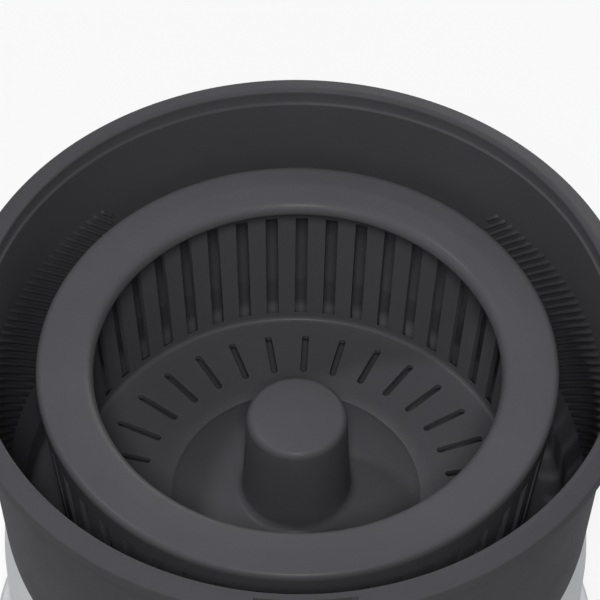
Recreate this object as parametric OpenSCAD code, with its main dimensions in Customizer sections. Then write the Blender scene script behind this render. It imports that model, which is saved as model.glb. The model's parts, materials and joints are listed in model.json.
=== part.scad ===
// Electric potato peeler with its spin basket fitted.
// Millimetres, +Z up. The origin is on the table, on the spindle axis. The front faces -Y.

/* [Housing] */
// Radius of the foot flange
base_r = 111; // [110:0.5:116]
// Radius of the body, just above the cove of the foot flange
crease_r = 102.2; // [101.5:0.1:104]
// Outer radius of the collar that carries the bowl
collar_r = 99.7; // [99:0.1:100.2]
// Height of the foot flange
band_h = 7; // [5:0.5:9]
// Height of the cove above the foot flange
flare_h = 14; // [10:0.5:18]
// Height of the body, from the cove to the collar top
cone_h = 77; // [75:1:84]
// Height of the neck under the collar top
neck_h = 26; // [20:1:32]
// Depth of the well inside the collar
well_h = 22; // [21:0.5:25]
// Wall of the housing
shell_t = 3; // [2:0.25:4]
// Thickness of the deck under the bowl
deck_t = 3; // [2.5:0.25:4]
// Wall of the collar at its top
collar_t = 2.7; // [2:0.1:3]

/* [Base] */
// Height of the rubber feet
foot_h = 5; // [3:0.5:10]
// Radius of a rubber foot
foot_r = 9; // [7:0.5:12]
// Distance of the feet from the spindle axis
foot_ring_r = 96; // [84:1:98]
// Thickness of the base plate
base_t = 3; // [2.5:0.25:4]
// Screws on each side that hold the base plate
base_screw_n = 3; // [2:1:4]
// Radius of the base screws' shanks
base_screw_r = 1.75; // [1.5:0.05:2]

/* [Bowl] */
// Outer radius of the bowl's rim
rim_r = 110; // [109:0.5:116]
// Radius of the bowl's mouth
mouth_r = 102.8; // [102.3:0.1:104]
// Height of the thick rim
lip_h = 7; // [5:0.5:10]
// Depth of the lid groove in the rim
groove_h = 1.2; // [0.8:0.1:3]
// Outer radius of the bowl's wall under the rim
wall_top_r = 104.2; // [103.8:0.1:105]
// Outer radius of the bowl's wall at its shoulder
wall_low_r = 100.3; // [99.8:0.1:101.5]
// Height of the bowl above its shoulder
skirt_h = 87; // [84:1:100]
// Wall of the bowl
bowl_t = 2.4; // [2:0.1:2.8]
// Depth of the bowl below its shoulder
sump_h = 19.6; // [17:0.2:20.4]
// Thickness of the bowl's floor
bowl_floor_t = 2.6; // [2:0.1:3.4]
// Number of slanting ribs in each of the two scrubbing fields
rub_n = 64; // [56:1:70]
// Height of a scrubbing rib above the wall
rub_h = 1; // [0.6:0.1:1.4]
// Width of a scrubbing rib
rub_w = 1.4; // [0.8:0.1:1.8]

/* [Basket] */
// Largest radius of the basket's rim
basket_r = 85; // [83:0.5:90]
// Radius of the basket's mouth
basket_mouth_r = 66.5; // [60:0.5:70]
// Inner radius of the basket where its wall meets the floor
basket_floor_r = 77; // [75:0.5:79]
// Depth of the basket from its rim to its floor
basket_h = 73.5; // [64:0.5:78]
// Wall of the basket
basket_t = 2.2; // [1.8:0.1:2.6]
// Number of slots in the basket's wall
slot_n = 48; // [24:1:52]
// Width of a wall slot
slot_w = 4.2; // [3:0.1:4.8]
// Height of a wall slot
slot_h = 47; // [36:1:50]
// Number of slots in the basket's floor
floor_slot_n = 32; // [16:1:36]
// Width of a floor slot
floor_slot_w = 2.3; // [1.8:0.1:3.2]
// Length of a floor slot
floor_slot_l = 17; // [10:0.5:20]
// Radius of the basket's hub at its top
hub_r = 17; // [16.6:0.1:19]
// Height of the basket's hub above its floor
hub_h = 43.5; // [41:0.5:46]

/* [Drive] */
// Radius of the motor spindle
spindle_r = 5; // [4:0.25:5.5]
// Radius of the drive shaft carried in the bowl
shaft_r = 4; // [3.5:0.1:4.4]
// Height of the cup in the bowl's floor that covers the coupling
cup_h = 20.6; // [20:0.2:21.4]
// Height of the bearing tube above that cup
tube_h = 20; // [16:0.5:24]
// Outer radius of the bearing tube
tube_r = 10.5; // [9.5:0.1:11.5]
// Height of the splined driver on the drive shaft
driver_h = 11.5; // [10:0.5:14]
// Radius of the splined driver over its teeth
driver_r = 10.6; // [9.6:0.2:11.2]
// Height of the drive dog on the spindle
dog_h = 8; // [7:0.5:9]

/* [Gears] */
// Teeth of the motor pinion
motor_teeth = 12; // [11:1:14]
// Teeth of the first wheel, on the layshaft
lay_wheel_teeth = 72; // [66:1:76]
// Module of the first pair
module_a = 0.8; // [0.75:0.01:0.85]
// Teeth of the layshaft pinion
lay_pinion_teeth = 14; // [12:1:16]
// Teeth of the spindle gear
spindle_teeth = 70; // [64:1:72]
// Module of the second pair
module_b = 1.25; // [1.2:0.01:1.3]
// Face width of the first pair
face_a = 6; // [5:0.5:8]
// Face width of the second pair
face_b = 9.5; // [8:0.5:11]
// Play between meshing teeth, along the pitch circle
backlash = 0.24; // [0.16:0.02:0.4]

/* [Motor] */
// Radius of the motor's can
motor_r = 21; // [19:0.5:22]
// Wall of the motor's can
motor_t = 1.5; // [1.2:0.1:2]
// Radius of the motor's shaft
motor_shaft_r = 1.6; // [1.5:0.1:1.8]
// Gap between the motor and the base plate
motor_gap = 2.5; // [2:0.5:5]

/* [Switch] */
// Height of the dial's centre above the table
dial_z = 56; // [54:0.5:57]
// Radius of the knob
knob_r = 16; // [13:0.5:18]
// Height of the knob above the dial pad
knob_h = 7; // [6.5:0.25:8]

/* [Hidden] */
$fn = 64;

// Clearances
run = 0.05;          // radial play of a shaft in its bush
press = 0.02;        // a pressed or bonded seat
loose = 0.3;         // covers, pads and parts that drop in
bowl_play = 0.7;     // bowl in the housing's collar
dog_play = 0.4;      // drive dog in its coupling, driver in its socket
spin_gap = 1;        // turning parts beside fixed ones
slack = 2.5;         // gears beside the walls of their case

// Heights, from the table up
base_z = foot_h;
plate_z = base_z + base_t;
crease_z = base_z + band_h + flare_h;
seat_z = crease_z + cone_h;
neck_z = seat_z - neck_h;
rim_z = seat_z + skirt_h;
deck_z = seat_z - well_h;
deck_low = deck_z - deck_t;
case_top = deck_low - 3;
cover_t = 3;
cover_low = case_top - cover_t;
cavity_h = face_a + face_b + 5;
case_floor = cover_low - cavity_h;
case_t = 3;
case_low = case_floor - case_t;
motor_low = plate_z + motor_gap;

// Housing. The body leans in a little up to the neck. The cove is an arc that starts upright under the body
body_draft = 0.3;
neck_r = crease_r - body_draft;
band_lean = 1.7;
flange_r = base_r - band_lean;
flange_z = base_z + band_h;
flare_bend = (pow(flange_r - crease_r, 2) + flare_h * flare_h) / 2 / (flange_r - crease_r);
flare_steps = 8;
inner_r = crease_r - shell_t;
collar_in = collar_r - collar_t;
spindle_boss_r = 13;
spindle_boss_top = deck_z + 2.5;
bush_wall = 3;
bush_r = spindle_r + bush_wall;
seal_h = 2.5;
seal_r = bush_r + 0.5;
gear_boss_r = 5;
case_screw_r = 2;
base_boss_r = 5;
base_boss_pos = min(base_r - shell_t, crease_r) - shell_t / 2 - base_boss_r;
base_boss_top = crease_z + 8;
foot_plug_r = 4;
foot_plug_top = plate_z + 3;
foot_lug_r = foot_plug_r + 3;

// The bowl and what it carries
bowl_low = seat_z - sump_h;
bowl_floor = bowl_low + bowl_floor_t;
sump_r = collar_in - bowl_play;
sump_t = 2.6;
cup_top = bowl_low + cup_h;
cup_r = 16.5;
cup_t = 2.2;
tube_top = cup_top + tube_h;
flange_t = 1.5;
washer_t = 0.5;
driver_low = tube_top + flange_t + washer_t;
driver_top = driver_low + driver_h;
shaft_bush_r = shaft_r + 2.5;
shoulder_r = 1.6;
inner_top_r = wall_top_r - bowl_t;
inner_low_r = wall_low_r - bowl_t;
sump_in = sump_r - sump_t;
rub_pitch = 1.9;
rub_slope = 39;
rub_half = 49.5;
rub_low = seat_z + 10;
rub_top = rim_z - 30;
latch_angles = [-97.05, -79.45];
latch_rib_w = 1.6;

// The basket hangs on the driver's top
socket_roof = 2.1;
hub_roof = 2.4;
hub_top = driver_top + socket_roof + hub_roof;
basket_floor = hub_top - hub_h;
basket_top = basket_floor + basket_h;
hub_foot_r = hub_r + 1.6;
hub_fillet = 13;
hub_step_r = 42.5;
hub_step_h = 1;
slot_low = basket_floor + 3.5;
slot_phase = 0.65;
floor_slot_phase = 2.3;
floor_slot_r = 52.4;
rim_bend = 2;
wall_head = basket_top - 4;
basket_wall_r = basket_r - 0.6;

// Spindle parts
coupling_low = bowl_low + 1.6;
coupling_r = cup_r - cup_t - spin_gap;
coupling_top = cup_top - cup_t - spin_gap;
dog_low = coupling_low + 0.8;
dog_top = dog_low + dog_h;
dog_core_r = 7.5;
dog_arm = 19;
dog_arm_w = 5;
spindle_low = case_floor - 9.5;
spindle_top = dog_top;
shaft_low = dog_top + 0.9;
screw_seat = 4;
driver_web = 3;
shaft_top = driver_top - screw_seat - driver_web;

// Gear train
pressure = 25;
addendum = 0.8;
dedendum = 1.1;
lay_a = 150;
motor_a = 45;
lay_dist = module_b * (lay_pinion_teeth + spindle_teeth) / 2;
motor_dist = module_a * (motor_teeth + lay_wheel_teeth) / 2;
lay_pos = [lay_dist * cos(lay_a), lay_dist * sin(lay_a)];
motor_pos = lay_pos + [motor_dist * cos(motor_a), motor_dist * sin(motor_a)];
wheel_z = case_floor + 1.2;
gear_z = wheel_z + face_a + 2.3;
gear_top = gear_z + face_b;
spindle_case_r = module_b * (spindle_teeth / 2 + addendum) + slack;
lay_case_r = module_a * (lay_wheel_teeth / 2 + addendum) + slack;
motor_case_r = motor_r;
lay_pin_r = 3;

// Motor
can_floor = case_low - motor_t;
cap_t = 3.2;
brush_z = motor_low + cap_t + 0.6;
brush_h = 4;
core_low = brush_z + brush_h + 5;
core_top = can_floor - 6;
magnet_t = 3;
core_r = motor_r - motor_t - magnet_t - 0.5;
motor_boss_r = 6;
motor_boss_h = 2;
commutator_r = 5;
brush_in = commutator_r + 0.1;
brush_out = motor_r - motor_t - 3;
brush_w = 4;

// Case ears take the four screws that hang the gear case from the deck
ear_r = 6;
ears = [spindle_case_r * [cos(-20), sin(-20)] + 4 * [cos(-20), sin(-20)],
        (spindle_case_r + 4) * [cos(-105), sin(-105)],
        lay_pos + (lay_case_r + 4.5) * [cos(190), sin(190)],
        motor_pos + (motor_case_r + 6.5) * [cos(60), sin(60)]];

// Dial on the front of the body
cone_tilt = atan(body_draft / (neck_z - crease_z));
dial_r = housing_r(dial_z);
pad_h = 0.8;
pad_in = shell_t + 1;
pad_r = knob_r + 4;
shaft_hole_r = 5;
switch_shaft_r = 3;
switch_w = 20;
switch_depth = 16;
nut_t = 2;
knob_gap = 1.2;
blade_l = 5;
blade_end = -pad_in - nut_t - switch_depth - blade_l;

// Cord gland at the back
gland_z = plate_z + 30;
gland_bore_r = 3.7;
gland_r = 6.5;
gland_proud = 7;
gland_lip = 1.5;
gland_face = housing_r(gland_z) + gland_proud;
gland_reach = gland_face + gland_lip;
gland_inner = housing_r(gland_z) - shell_t - 3;
clamp_half = 10;
clamp_y = gland_inner - 14;
clamp_low = gland_z + 1.5;
clamp_t = 5;

// Bowl interlock, through the deck
lock_pos = (collar_in - 19) * [cos(-35), sin(-35)];
lock_r = 3;
lock_collar_r = 5;
lock_travel = 3;
lock_top = bowl_low - 0.1;
lock_collar_top = deck_low - 2 - lock_travel - 1;
lock_plate_z = lock_collar_top - 10;
lock_plate_t = 2;
lock_leg = 13;
spring_r = 3.6;
spring_wire = 0.45;
lock_blade_end = lock_plate_z - lock_plate_t - 14;

// Circuit board
board_size = [44, 56];
board_y = 14;
board_gap = 5.3;
board_reach = sqrt(pow(inner_r - board_gap, 2) - pow(board_y + board_size.y / 2, 2));
board_pos = [board_reach - board_size.x / 2, board_y];
board_t = 1.6;
board_post = 10;
board_z = plate_z + board_post;
board_top = board_z + board_t;
block_size = [22, 12, 11];
block_x = 24;
block_gap = 12;
block_pos = [block_x, sqrt(pow(inner_r - block_gap, 2) - pow(block_x + block_size.x, 2)) - block_size.y];
wire_r = 1.1;

function housing_r(z) =
    z > neck_z ? neck_r - (neck_r - collar_r) * (z - neck_z) / neck_h
    : z > crease_z ? crease_r - body_draft * (z - crease_z) / (neck_z - crease_z)
    : crease_r + flare_bend * (1 - sqrt(1 - pow(min(crease_z - z, flare_h) / flare_bend, 2)));

// The housing's outside, set in by inset, from the base plate up to the height top
function wall_points(inset, top) =
    concat([[base_r - inset, base_z], [base_r - inset, plate_z]],
           [for (k = [0:flare_steps]) let (z = flange_z + flare_h * k / flare_steps)
               [housing_r(z) - inset, z]],
           top > neck_z ? [[neck_r - inset, neck_z]] : [],
           [[housing_r(top) - inset, top]]);

function backwards(list) = [for (i = [len(list) - 1:-1:0]) list[i]];

function arc(c, r, a0, a1, n = 6) =
    [for (i = [0:n]) c + r * [cos(a0 + (a1 - a0) * i / n), sin(a0 + (a1 - a0) * i / n)]];

// Half angle of an involute tooth at radius r
function inv(rb, r) = let (t = sqrt(pow(r / rb, 2) - 1)) t * 180 / PI - atan(t);
function half_tooth(n, m, r) =
    let (rp = m * n / 2, rb = rp * cos(pressure))
    90 / n - backlash / 4 / rp * 180 / PI + inv(rb, rp) - inv(rb, max(r, rb));

function polar(r, a) = [r * cos(a), r * sin(a)];

function gear_points(n, m, steps = 3) =
    let (rp = m * n / 2, rb = rp * cos(pressure), ra = rp + addendum * m, rf = rp - dedendum * m,
         r0 = max(rb, rf), flank = [for (k = [0:steps]) r0 + (ra - r0) * k / steps])
    [for (i = [0:n - 1]) let (a = i * 360 / n)
        each concat([polar(rf, a - half_tooth(n, m, r0) - 0.001)],
                    [for (r = flank) polar(r, a - half_tooth(n, m, r))],
                    [for (r = backwards(flank)) polar(r, a + half_tooth(n, m, r))],
                    [polar(rf, a + half_tooth(n, m, r0) + 0.001)])];

// A round tube of radius r along a list of points
function unit(v) = v / norm(v);
function ring(p, d, r, sides) =
    let (u = unit(cross(d, abs(d.z) > 0.9 ? [1, 0, 0] : [0, 0, 1])), v = cross(u, d))
    [for (k = [0:sides - 1]) p + r * (u * cos(360 * k / sides) + v * sin(360 * k / sides))];
function spline(p, n) =
    let (e = concat([2 * p[0] - p[1]], p, [2 * p[len(p) - 1] - p[len(p) - 2]]))
    concat([for (i = [1:len(p) - 1], k = [0:n - 1]) let (t = k / n)
        0.5 * (2 * e[i] + (e[i + 1] - e[i - 1]) * t
               + (2 * e[i - 1] - 5 * e[i] + 4 * e[i + 1] - e[i + 2]) * t * t
               + (3 * e[i] - e[i - 1] - 3 * e[i + 1] + e[i + 2]) * t * t * t)], [p[len(p) - 1]]);

module tube(path, r, sides = 8) {
    n = len(path);
    rings = [for (i = [0:n - 1])
        each ring(path[i], unit(path[min(i + 1, n - 1)] - path[max(i - 1, 0)]), r, sides)];
    walls = [for (i = [0:n - 2], k = [0:sides - 1])
        [i * sides + k, (i + 1) * sides + k, (i + 1) * sides + (k + 1) % sides, i * sides + (k + 1) % sides]];
    polyhedron(rings, concat([[for (k = [0:sides - 1]) k]], walls,
                             [[for (k = [sides - 1:-1:0]) (n - 1) * sides + k]]), convexity = 8);
}

module at(p, z = 0) {
    translate([p.x, p.y, z]) children();
}

module pipe(r_out, r_in, h) {
    difference() {
        cylinder(r = r_out, h = h);
        translate([0, 0, -1]) cylinder(r = r_in, h = h + 2);
    }
}

module gear(n, m, h, turn) {
    rotate(turn) linear_extrude(h) polygon(gear_points(n, m));
}

module on_dial() {
    translate([0, -dial_r, dial_z]) rotate([90 - cone_tilt, 0, 0]) children();
}

module screw(head_r, head_h, r, l) {
    difference() {
        translate([0, 0, -head_h]) cylinder(r = head_r, h = head_h);
        for (a = [0, 90]) rotate(a)
            translate([-head_r * 0.6, -0.45, -head_h - 1]) cube([head_r * 1.2, 0.9, 1.9]);
    }
    cylinder(r = r, h = l);
}

// ---- Housing ----

module base_boss_ring() {
    for (side = [0, 180], i = [0:base_screw_n - 1])
        rotate(side - 60 + 120 / (base_screw_n - 1) * i) translate([base_boss_pos, 0, 0]) children();
}

module housing_shell() {
    color("whitesmoke") difference() {
        union() {
            rotate_extrude($fn = 128) polygon(concat(
                wall_points(0, seat_z - 1),
                arc([collar_r - 1, seat_z - 1], 1, 30, 90, 3),
                [[collar_in, seat_z], [collar_in, deck_z], [spindle_boss_r, deck_z],
                 [spindle_boss_r - 1, spindle_boss_top], [seal_r + press, spindle_boss_top],
                 [seal_r + press, spindle_boss_top - seal_h], [bush_r + press, spindle_boss_top - seal_h],
                 [bush_r + press, case_top], [spindle_boss_r, case_top], [spindle_boss_r, deck_low]],
                backwards(wall_points(shell_t, deck_low))));
            intersection() {
                base_boss_ring() translate([0, 0, plate_z + loose]) {
                    cylinder(r = base_boss_r, h = base_boss_top - plate_z - loose);
                    translate([0, -1, 2]) cube([20, 2, base_boss_top - plate_z - loose - 2]);
                }
                rotate_extrude()
                    polygon(concat([[0, base_z]], wall_points(shell_t / 2, deck_low), [[0, deck_low]]));
            }
            for (p = ears) at(p, case_top) cylinder(r = gear_boss_r, h = deck_low - case_top + 0.5);
            at(lock_pos, deck_low - 2) cylinder(r = lock_r + 3, h = 2.5);
            on_dial() translate([0, 0, -pad_in]) cylinder(r = pad_r, h = pad_in + pad_h);
            translate([0, gland_face, gland_z]) rotate([90, 0, 0])
                cylinder(r = gland_r + 4, h = gland_face - gland_inner);
        }
        base_boss_ring() translate([0, 0, plate_z - 1])
            cylinder(r = base_screw_r + run, h = base_boss_top - plate_z - 4);
        foot_ring() translate([0, 0, base_z - 1])
            cylinder(r = foot_lug_r + loose, h = foot_plug_top + loose - base_z + 1);
        for (p = ears) at(p, case_top - 1) cylinder(r = case_screw_r + run, h = deck_z - case_top - 1);
        at(lock_pos, deck_low - 3) cylinder(r = lock_r + loose, h = deck_t + 5);
        on_dial() translate([0, 0, -pad_in - 6]) cylinder(r = shaft_hole_r, h = pad_in + 10);
        translate([0, gland_face + 1, gland_z]) rotate([90, 0, 0])
            cylinder(r = gland_r + press, h = gland_face - gland_inner + 2);
    }
}

module base_plate() {
    color("gainsboro") difference() {
        union() {
            translate([0, 0, base_z]) cylinder(r = base_r - shell_t - loose, h = base_t, $fn = 128);
            foot_ring() translate([0, 0, base_z]) cylinder(r = foot_lug_r, h = base_t);
            board_posts() cylinder(r = 3.2, h = board_post + 1);
            for (x = [-1, 1]) translate([x * clamp_half, clamp_y, plate_z - 1])
                cylinder(r = 4, h = clamp_low - plate_z + 1);
        }
        base_boss_ring() translate([0, 0, base_z - 1]) {
            cylinder(r = base_screw_r + loose, h = base_t + 2);
            cylinder(r = 4, h = 2.9);
        }
        foot_ring() translate([0, 0, base_z - 1]) cylinder(r = foot_plug_r + press, h = base_t + 2);
        board_posts() translate([0, 0, 2.5]) cylinder(r = 1.3 + run, h = board_post);
        for (x = [-1, 1]) translate([x * clamp_half, clamp_y, clamp_low - 12])
            cylinder(r = 1.5 + run, h = 20);
        for (i = [-4:4]) translate([motor_pos.x + i * 4 - 1, motor_pos.y - 13, base_z - 1])
            cube([2, 26, base_t + 2]);
    }
}

module base_screws() {
    color("silver") base_boss_ring() translate([0, 0, base_z + 1.9])
        screw(3.4, 1.6, base_screw_r, base_boss_top - base_z - 10);
}

module foot_ring() {
    for (a = [45:90:315]) rotate(a) translate([foot_ring_r, 0, 0]) children();
}

module rubber_feet() {
    color("dimgray") foot_ring() {
        rotate_extrude() polygon(concat([[0, 0]], arc([foot_r - 1.2, 1.2], 1.2, -90, 0, 4),
            [[foot_r - 0.6, foot_h], [foot_plug_r, foot_h], [foot_plug_r, plate_z],
             [foot_plug_r + 0.8, plate_z + 0.2], [foot_plug_r - 1, foot_plug_top], [0, foot_plug_top]]));
    }
}

// ---- Gear case, hung from the deck ----

module case_outline(grow) {
    circle(r = spindle_case_r + grow);
    translate(lay_pos) circle(r = lay_case_r + grow);
    translate(motor_pos) circle(r = motor_case_r + grow);
}

module gear_case() {
    color("darkgray") difference() {
        union() {
            translate([0, 0, case_low]) linear_extrude(cover_low - case_low) case_outline(case_t);
            for (p = ears) at(p, case_low) cylinder(r = ear_r, h = cover_low - case_low);
            translate([0, 0, spindle_low - 2.5]) cylinder(r = bush_r + 4, h = case_low - spindle_low + 3.5);
        }
        translate([0, 0, case_floor]) linear_extrude(cavity_h + 1) case_outline(0);
        translate([0, 0, spindle_low - 0.1]) cylinder(r = bush_r + press, h = 40);
        at(lay_pos, case_low - 1) cylinder(r = lay_pin_r + press, h = case_t + 2);
        at(motor_pos, case_low - 1) cylinder(r = motor_boss_r + loose, h = case_t + 2);
        motor_screw_pair() translate([0, 0, case_low - 1]) cylinder(r = 1.5 + run, h = case_t + 2);
        for (p = ears) at(p, case_low - 1) cylinder(r = case_screw_r + loose, h = cover_low - case_low + 2);
    }
}

module gear_cover() {
    color("darkgray") difference() {
        union() {
            translate([0, 0, cover_low]) linear_extrude(cover_t) case_outline(case_t);
            for (p = ears) at(p, cover_low) cylinder(r = ear_r, h = cover_t);
        }
        translate([0, 0, cover_low - 1]) cylinder(r = spindle_r + spin_gap, h = cover_t + 2);
        at(lay_pos, cover_low - 1) cylinder(r = lay_pin_r + press, h = cover_t + 2);
        for (p = ears) at(p, cover_low - 1) cylinder(r = case_screw_r + loose, h = cover_t + 2);
    }
}

module gear_case_screws() {
    color("silver") for (p = ears) at(p, case_low) screw(3.8, 2.4, case_screw_r, deck_z - case_low - 3.5);
}

module spindle_bush_lower() {
    color("goldenrod") translate([0, 0, spindle_low - 0.1]) {
        pipe(bush_r, spindle_r + run, case_floor - spindle_low + 0.1);
        translate([0, 0, case_floor - spindle_low + 0.1]) pipe(bush_r + 1.5, spindle_r + run, 1);
    }
}

module spindle_bush_upper() {
    color("goldenrod") translate([0, 0, case_top])
        pipe(bush_r, spindle_r + run, spindle_boss_top - seal_h - case_top);
}

module spindle_seal() {
    color("dimgray") translate([0, 0, spindle_boss_top - seal_h]) rotate_extrude()
        polygon([[spindle_r + run, 0.8], [seal_r, 0], [seal_r, seal_h], [spindle_r + 1.6, seal_h],
                 [spindle_r + run, 1.4]]);
}

module layshaft_pin() {
    color("silver") at(lay_pos, case_low) cylinder(r = lay_pin_r, h = case_top - case_low);
}

// ---- Motor, hung from the gear case ----

module motor_screw_pair() {
    for (s = [-1, 1])
        translate([motor_pos.x, motor_pos.y, 0]) rotate(motor_a + 90) translate([s * 11.5, 0, 0]) children();
}

module motor_can() {
    color("lightsteelblue") difference() {
        at(motor_pos, motor_low) {
            cylinder(r = motor_r, h = case_low - motor_low);
            cylinder(r = motor_boss_r, h = case_low - motor_low + motor_boss_h);
        }
        at(motor_pos, motor_low - 1) cylinder(r = motor_r - motor_t, h = can_floor - motor_low + 1);
        at(motor_pos, motor_low) cylinder(r = motor_boss_r - 2 + press, h = 80);
        motor_screw_pair() translate([0, 0, can_floor - 1]) cylinder(r = 1.5 + run, h = motor_t + 2);
        at(motor_pos, brush_z + brush_h / 2) rotate(motor_a) rotate([0, 90, 0])
            cylinder(r = 1.6, h = 3 * motor_r, center = true);
    }
}

module motor_end_cap() {
    color("black") at(motor_pos, motor_low) difference() {
        union() {
            cylinder(r = motor_r - motor_t - press, h = cap_t);
            translate([0, 0, -1]) cylinder(r = motor_boss_r, h = 2);
        }
        translate([0, 0, -0.2]) cylinder(r = motor_boss_r - 2 + press, h = cap_t + 2);
        translate([0, 0, -2]) cylinder(r = motor_shaft_r + 0.5, h = 4);
    }
}

module motor_magnets() {
    color("dimgray") at(motor_pos, core_low - 1) difference() {
        pipe(motor_r - motor_t - press, motor_r - motor_t - magnet_t, core_top - core_low + 2);
        for (a = [0, 180]) rotate(a + motor_a) translate([0, -5, -1]) cube([motor_r, 10, core_top]);
    }
}

module motor_bushes() {
    color("goldenrod") {
        at(motor_pos, motor_low - 0.2) pipe(motor_boss_r - 2, motor_shaft_r + run, cap_t + 0.2);
        at(motor_pos, can_floor) pipe(motor_boss_r - 2, motor_shaft_r + run, motor_t + motor_boss_h);
    }
}

module motor_screws() {
    color("silver") motor_screw_pair() translate([0, 0, case_floor]) mirror([0, 0, 1])
        screw(2.7, 1.8, 1.5, case_t + motor_t + 0.5);
}

module brush_pair() {
    for (turn = [0, 180]) at(motor_pos, brush_z) rotate(motor_a + turn) children();
}

module brush_holders() {
    color("goldenrod") brush_pair() difference() {
        translate([commutator_r + 3, -brush_w / 2 - 1, -0.6])
            cube([brush_out - commutator_r - 2, brush_w + 2, brush_h + 1.4]);
        translate([commutator_r + 2, -brush_w / 2 - loose / 2, -loose / 2])
            cube([brush_out - commutator_r - 2, brush_w + loose, brush_h + loose]);
    }
}

module carbon_brushes() {
    color("black") brush_pair() difference() {
        translate([0, -brush_w / 2, 0]) cube([brush_out - 1, brush_w, brush_h]);
        translate([0, 0, -1]) cylinder(r = brush_in, h = brush_h + 2);
    }
}

module motor_shaft() {
    color("silver") at(motor_pos, motor_low - 0.1)
        cylinder(r = motor_shaft_r, h = wheel_z + face_a + 0.5 - motor_low);
}

module rotor_core() {
    color("gray") at(motor_pos, core_low) difference() {
        cylinder(r = core_r, h = core_top - core_low);
        translate([0, 0, -1]) cylinder(r = motor_shaft_r + press, h = core_top);
        for (a = [0:72:288]) rotate(a) translate([7, -1, -1]) cube([core_r, 2, core_top]);
        for (a = [0:72:288]) rotate(a) translate([10, 0, -1]) cylinder(r = 2.6, h = core_top);
    }
}

module rotor_windings() {
    color("orangered") for (z = [core_low - 3, core_top]) at(motor_pos, z) pipe(core_r - 1.5, 5.5, 3);
}

module commutator() {
    color("peru") at(motor_pos, brush_z - 0.4) difference() {
        pipe(commutator_r, motor_shaft_r + press, brush_h + 1.4);
        for (a = [0:60:300]) rotate(a + 30) translate([commutator_r - 0.6, -0.2, -1])
            cube([2, 0.4, brush_h + 4]);
    }
}

module motor_pinion() {
    color("gold") difference() {
        at(motor_pos, wheel_z) gear(motor_teeth, module_a, face_a, motor_a + 180);
        at(motor_pos, wheel_z - 1) cylinder(r = motor_shaft_r + press, h = face_a + 2);
    }
}

module lay_gear() {
    color("ivory") difference() {
        union() {
            at(lay_pos, wheel_z) gear(lay_wheel_teeth, module_a, face_a, motor_a + 180 / lay_wheel_teeth);
            at(lay_pos, wheel_z + face_a - 1)
                gear(lay_pinion_teeth, module_b, gear_top - wheel_z - face_a + 1, lay_a + 180);
        }
        at(lay_pos, wheel_z - 1) cylinder(r = lay_pin_r + run, h = cavity_h + 2);
        at(lay_pos, wheel_z + face_a - 2)
            pipe(module_a * lay_wheel_teeth / 2 - 4, module_b * lay_pinion_teeth / 2 + 3, 4);
    }
}

// ---- Spindle ----

module spindle() {
    color("silver") difference() {
        translate([0, 0, spindle_low]) cylinder(r = spindle_r, h = spindle_top - spindle_low);
        translate([0, 0, dog_low + dog_h / 2]) rotate([0, 90, 0])
            cylinder(r = 1.5 + press, h = 40, center = true);
    }
}

module spindle_gear() {
    color("ivory") difference() {
        union() {
            translate([0, 0, gear_z]) gear(spindle_teeth, module_b, face_b, lay_a + 180 / spindle_teeth);
            translate([0, 0, case_floor + 1.2]) cylinder(r = 10, h = gear_top - case_floor - 0.2);
        }
        translate([0, 0, case_floor]) cylinder(r = spindle_r + press, h = cavity_h);
        translate([0, 0, gear_top - 2]) pipe(module_b * spindle_teeth / 2 - 6, 14, 4);
        for (a = [0:60:300]) rotate(a) translate([25, 0, gear_z - 1]) cylinder(r = 6, h = face_b + 2);
    }
}

module dog_outline(play) {
    circle(r = dog_core_r + play);
    for (a = [0, 60, 120]) rotate(a) square([dog_arm + 2 * play, dog_arm_w + 2 * play], center = true);
}

module drive_dog() {
    color("black") difference() {
        translate([0, 0, dog_low]) linear_extrude(dog_h) dog_outline(0);
        translate([0, 0, dog_low - 1]) cylinder(r = spindle_r + press, h = dog_h + 2);
        translate([0, 0, dog_low + dog_h / 2]) rotate([0, 90, 0])
            cylinder(r = 1.5 + press, h = 40, center = true);
    }
}

module dog_pin() {
    color("silver") translate([0, 0, dog_low + dog_h / 2]) rotate([0, 90, 0])
        cylinder(r = 1.5, h = dog_arm - 1, center = true);
}

// ---- Switch, board and wiring ----

module rotary_switch() {
    color("black") on_dial() difference() {
        union() {
            translate([-switch_w / 2, -switch_w / 2, -pad_in - nut_t - switch_depth])
                cube([switch_w, switch_w, switch_depth]);
            translate([0, 0, -pad_in - nut_t - 1])
                cylinder(r = shaft_hole_r - loose, h = pad_in + nut_t + pad_h + 0.6);
            for (x = [-6, 0, 6]) translate([x - 0.4, -3, blade_end]) cube([0.8, 6, blade_l + 1]);
        }
        translate([0, 0, -pad_in - nut_t - 12]) cylinder(r = switch_shaft_r + run, h = 40);
    }
}

module switch_nut() {
    color("silver") on_dial() translate([0, 0, -pad_in - nut_t]) pipe(8, shaft_hole_r - loose + press, nut_t);
}

module dial_ring() {
    color("gray") on_dial() translate([0, 0, pad_h]) difference() {
        cylinder(r = pad_r - 0.6, h = 0.8);
        translate([0, 0, -1]) cylinder(r = shaft_hole_r, h = 3);
        for (a = [45, -45]) rotate(a) translate([-0.5, knob_r + 0.8, 0.4]) cube([1, 2.2, 1]);
    }
}

module knob() {
    color("dimgray") on_dial() translate([0, 0, pad_h + knob_gap]) difference() {
        rotate_extrude() polygon(concat([[0, 0], [knob_r, 0], [knob_r, 2]],
            arc([knob_r - 2.2, knob_h - 2.2], 1.6, 0, 90, 5), [[0, knob_h - 0.6]]));
        for (a = [0:20:340]) rotate(a) translate([knob_r + 0.6, 0, 2.6]) cylinder(r = 1.6, h = knob_h);
        translate([0, 0, -1]) cylinder(r = switch_shaft_r + press, h = knob_h - 1.4);
        rotate(45) translate([-0.8, 3, knob_h - 1.4]) cube([1.6, knob_r - 6, 2]);
    }
}

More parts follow.
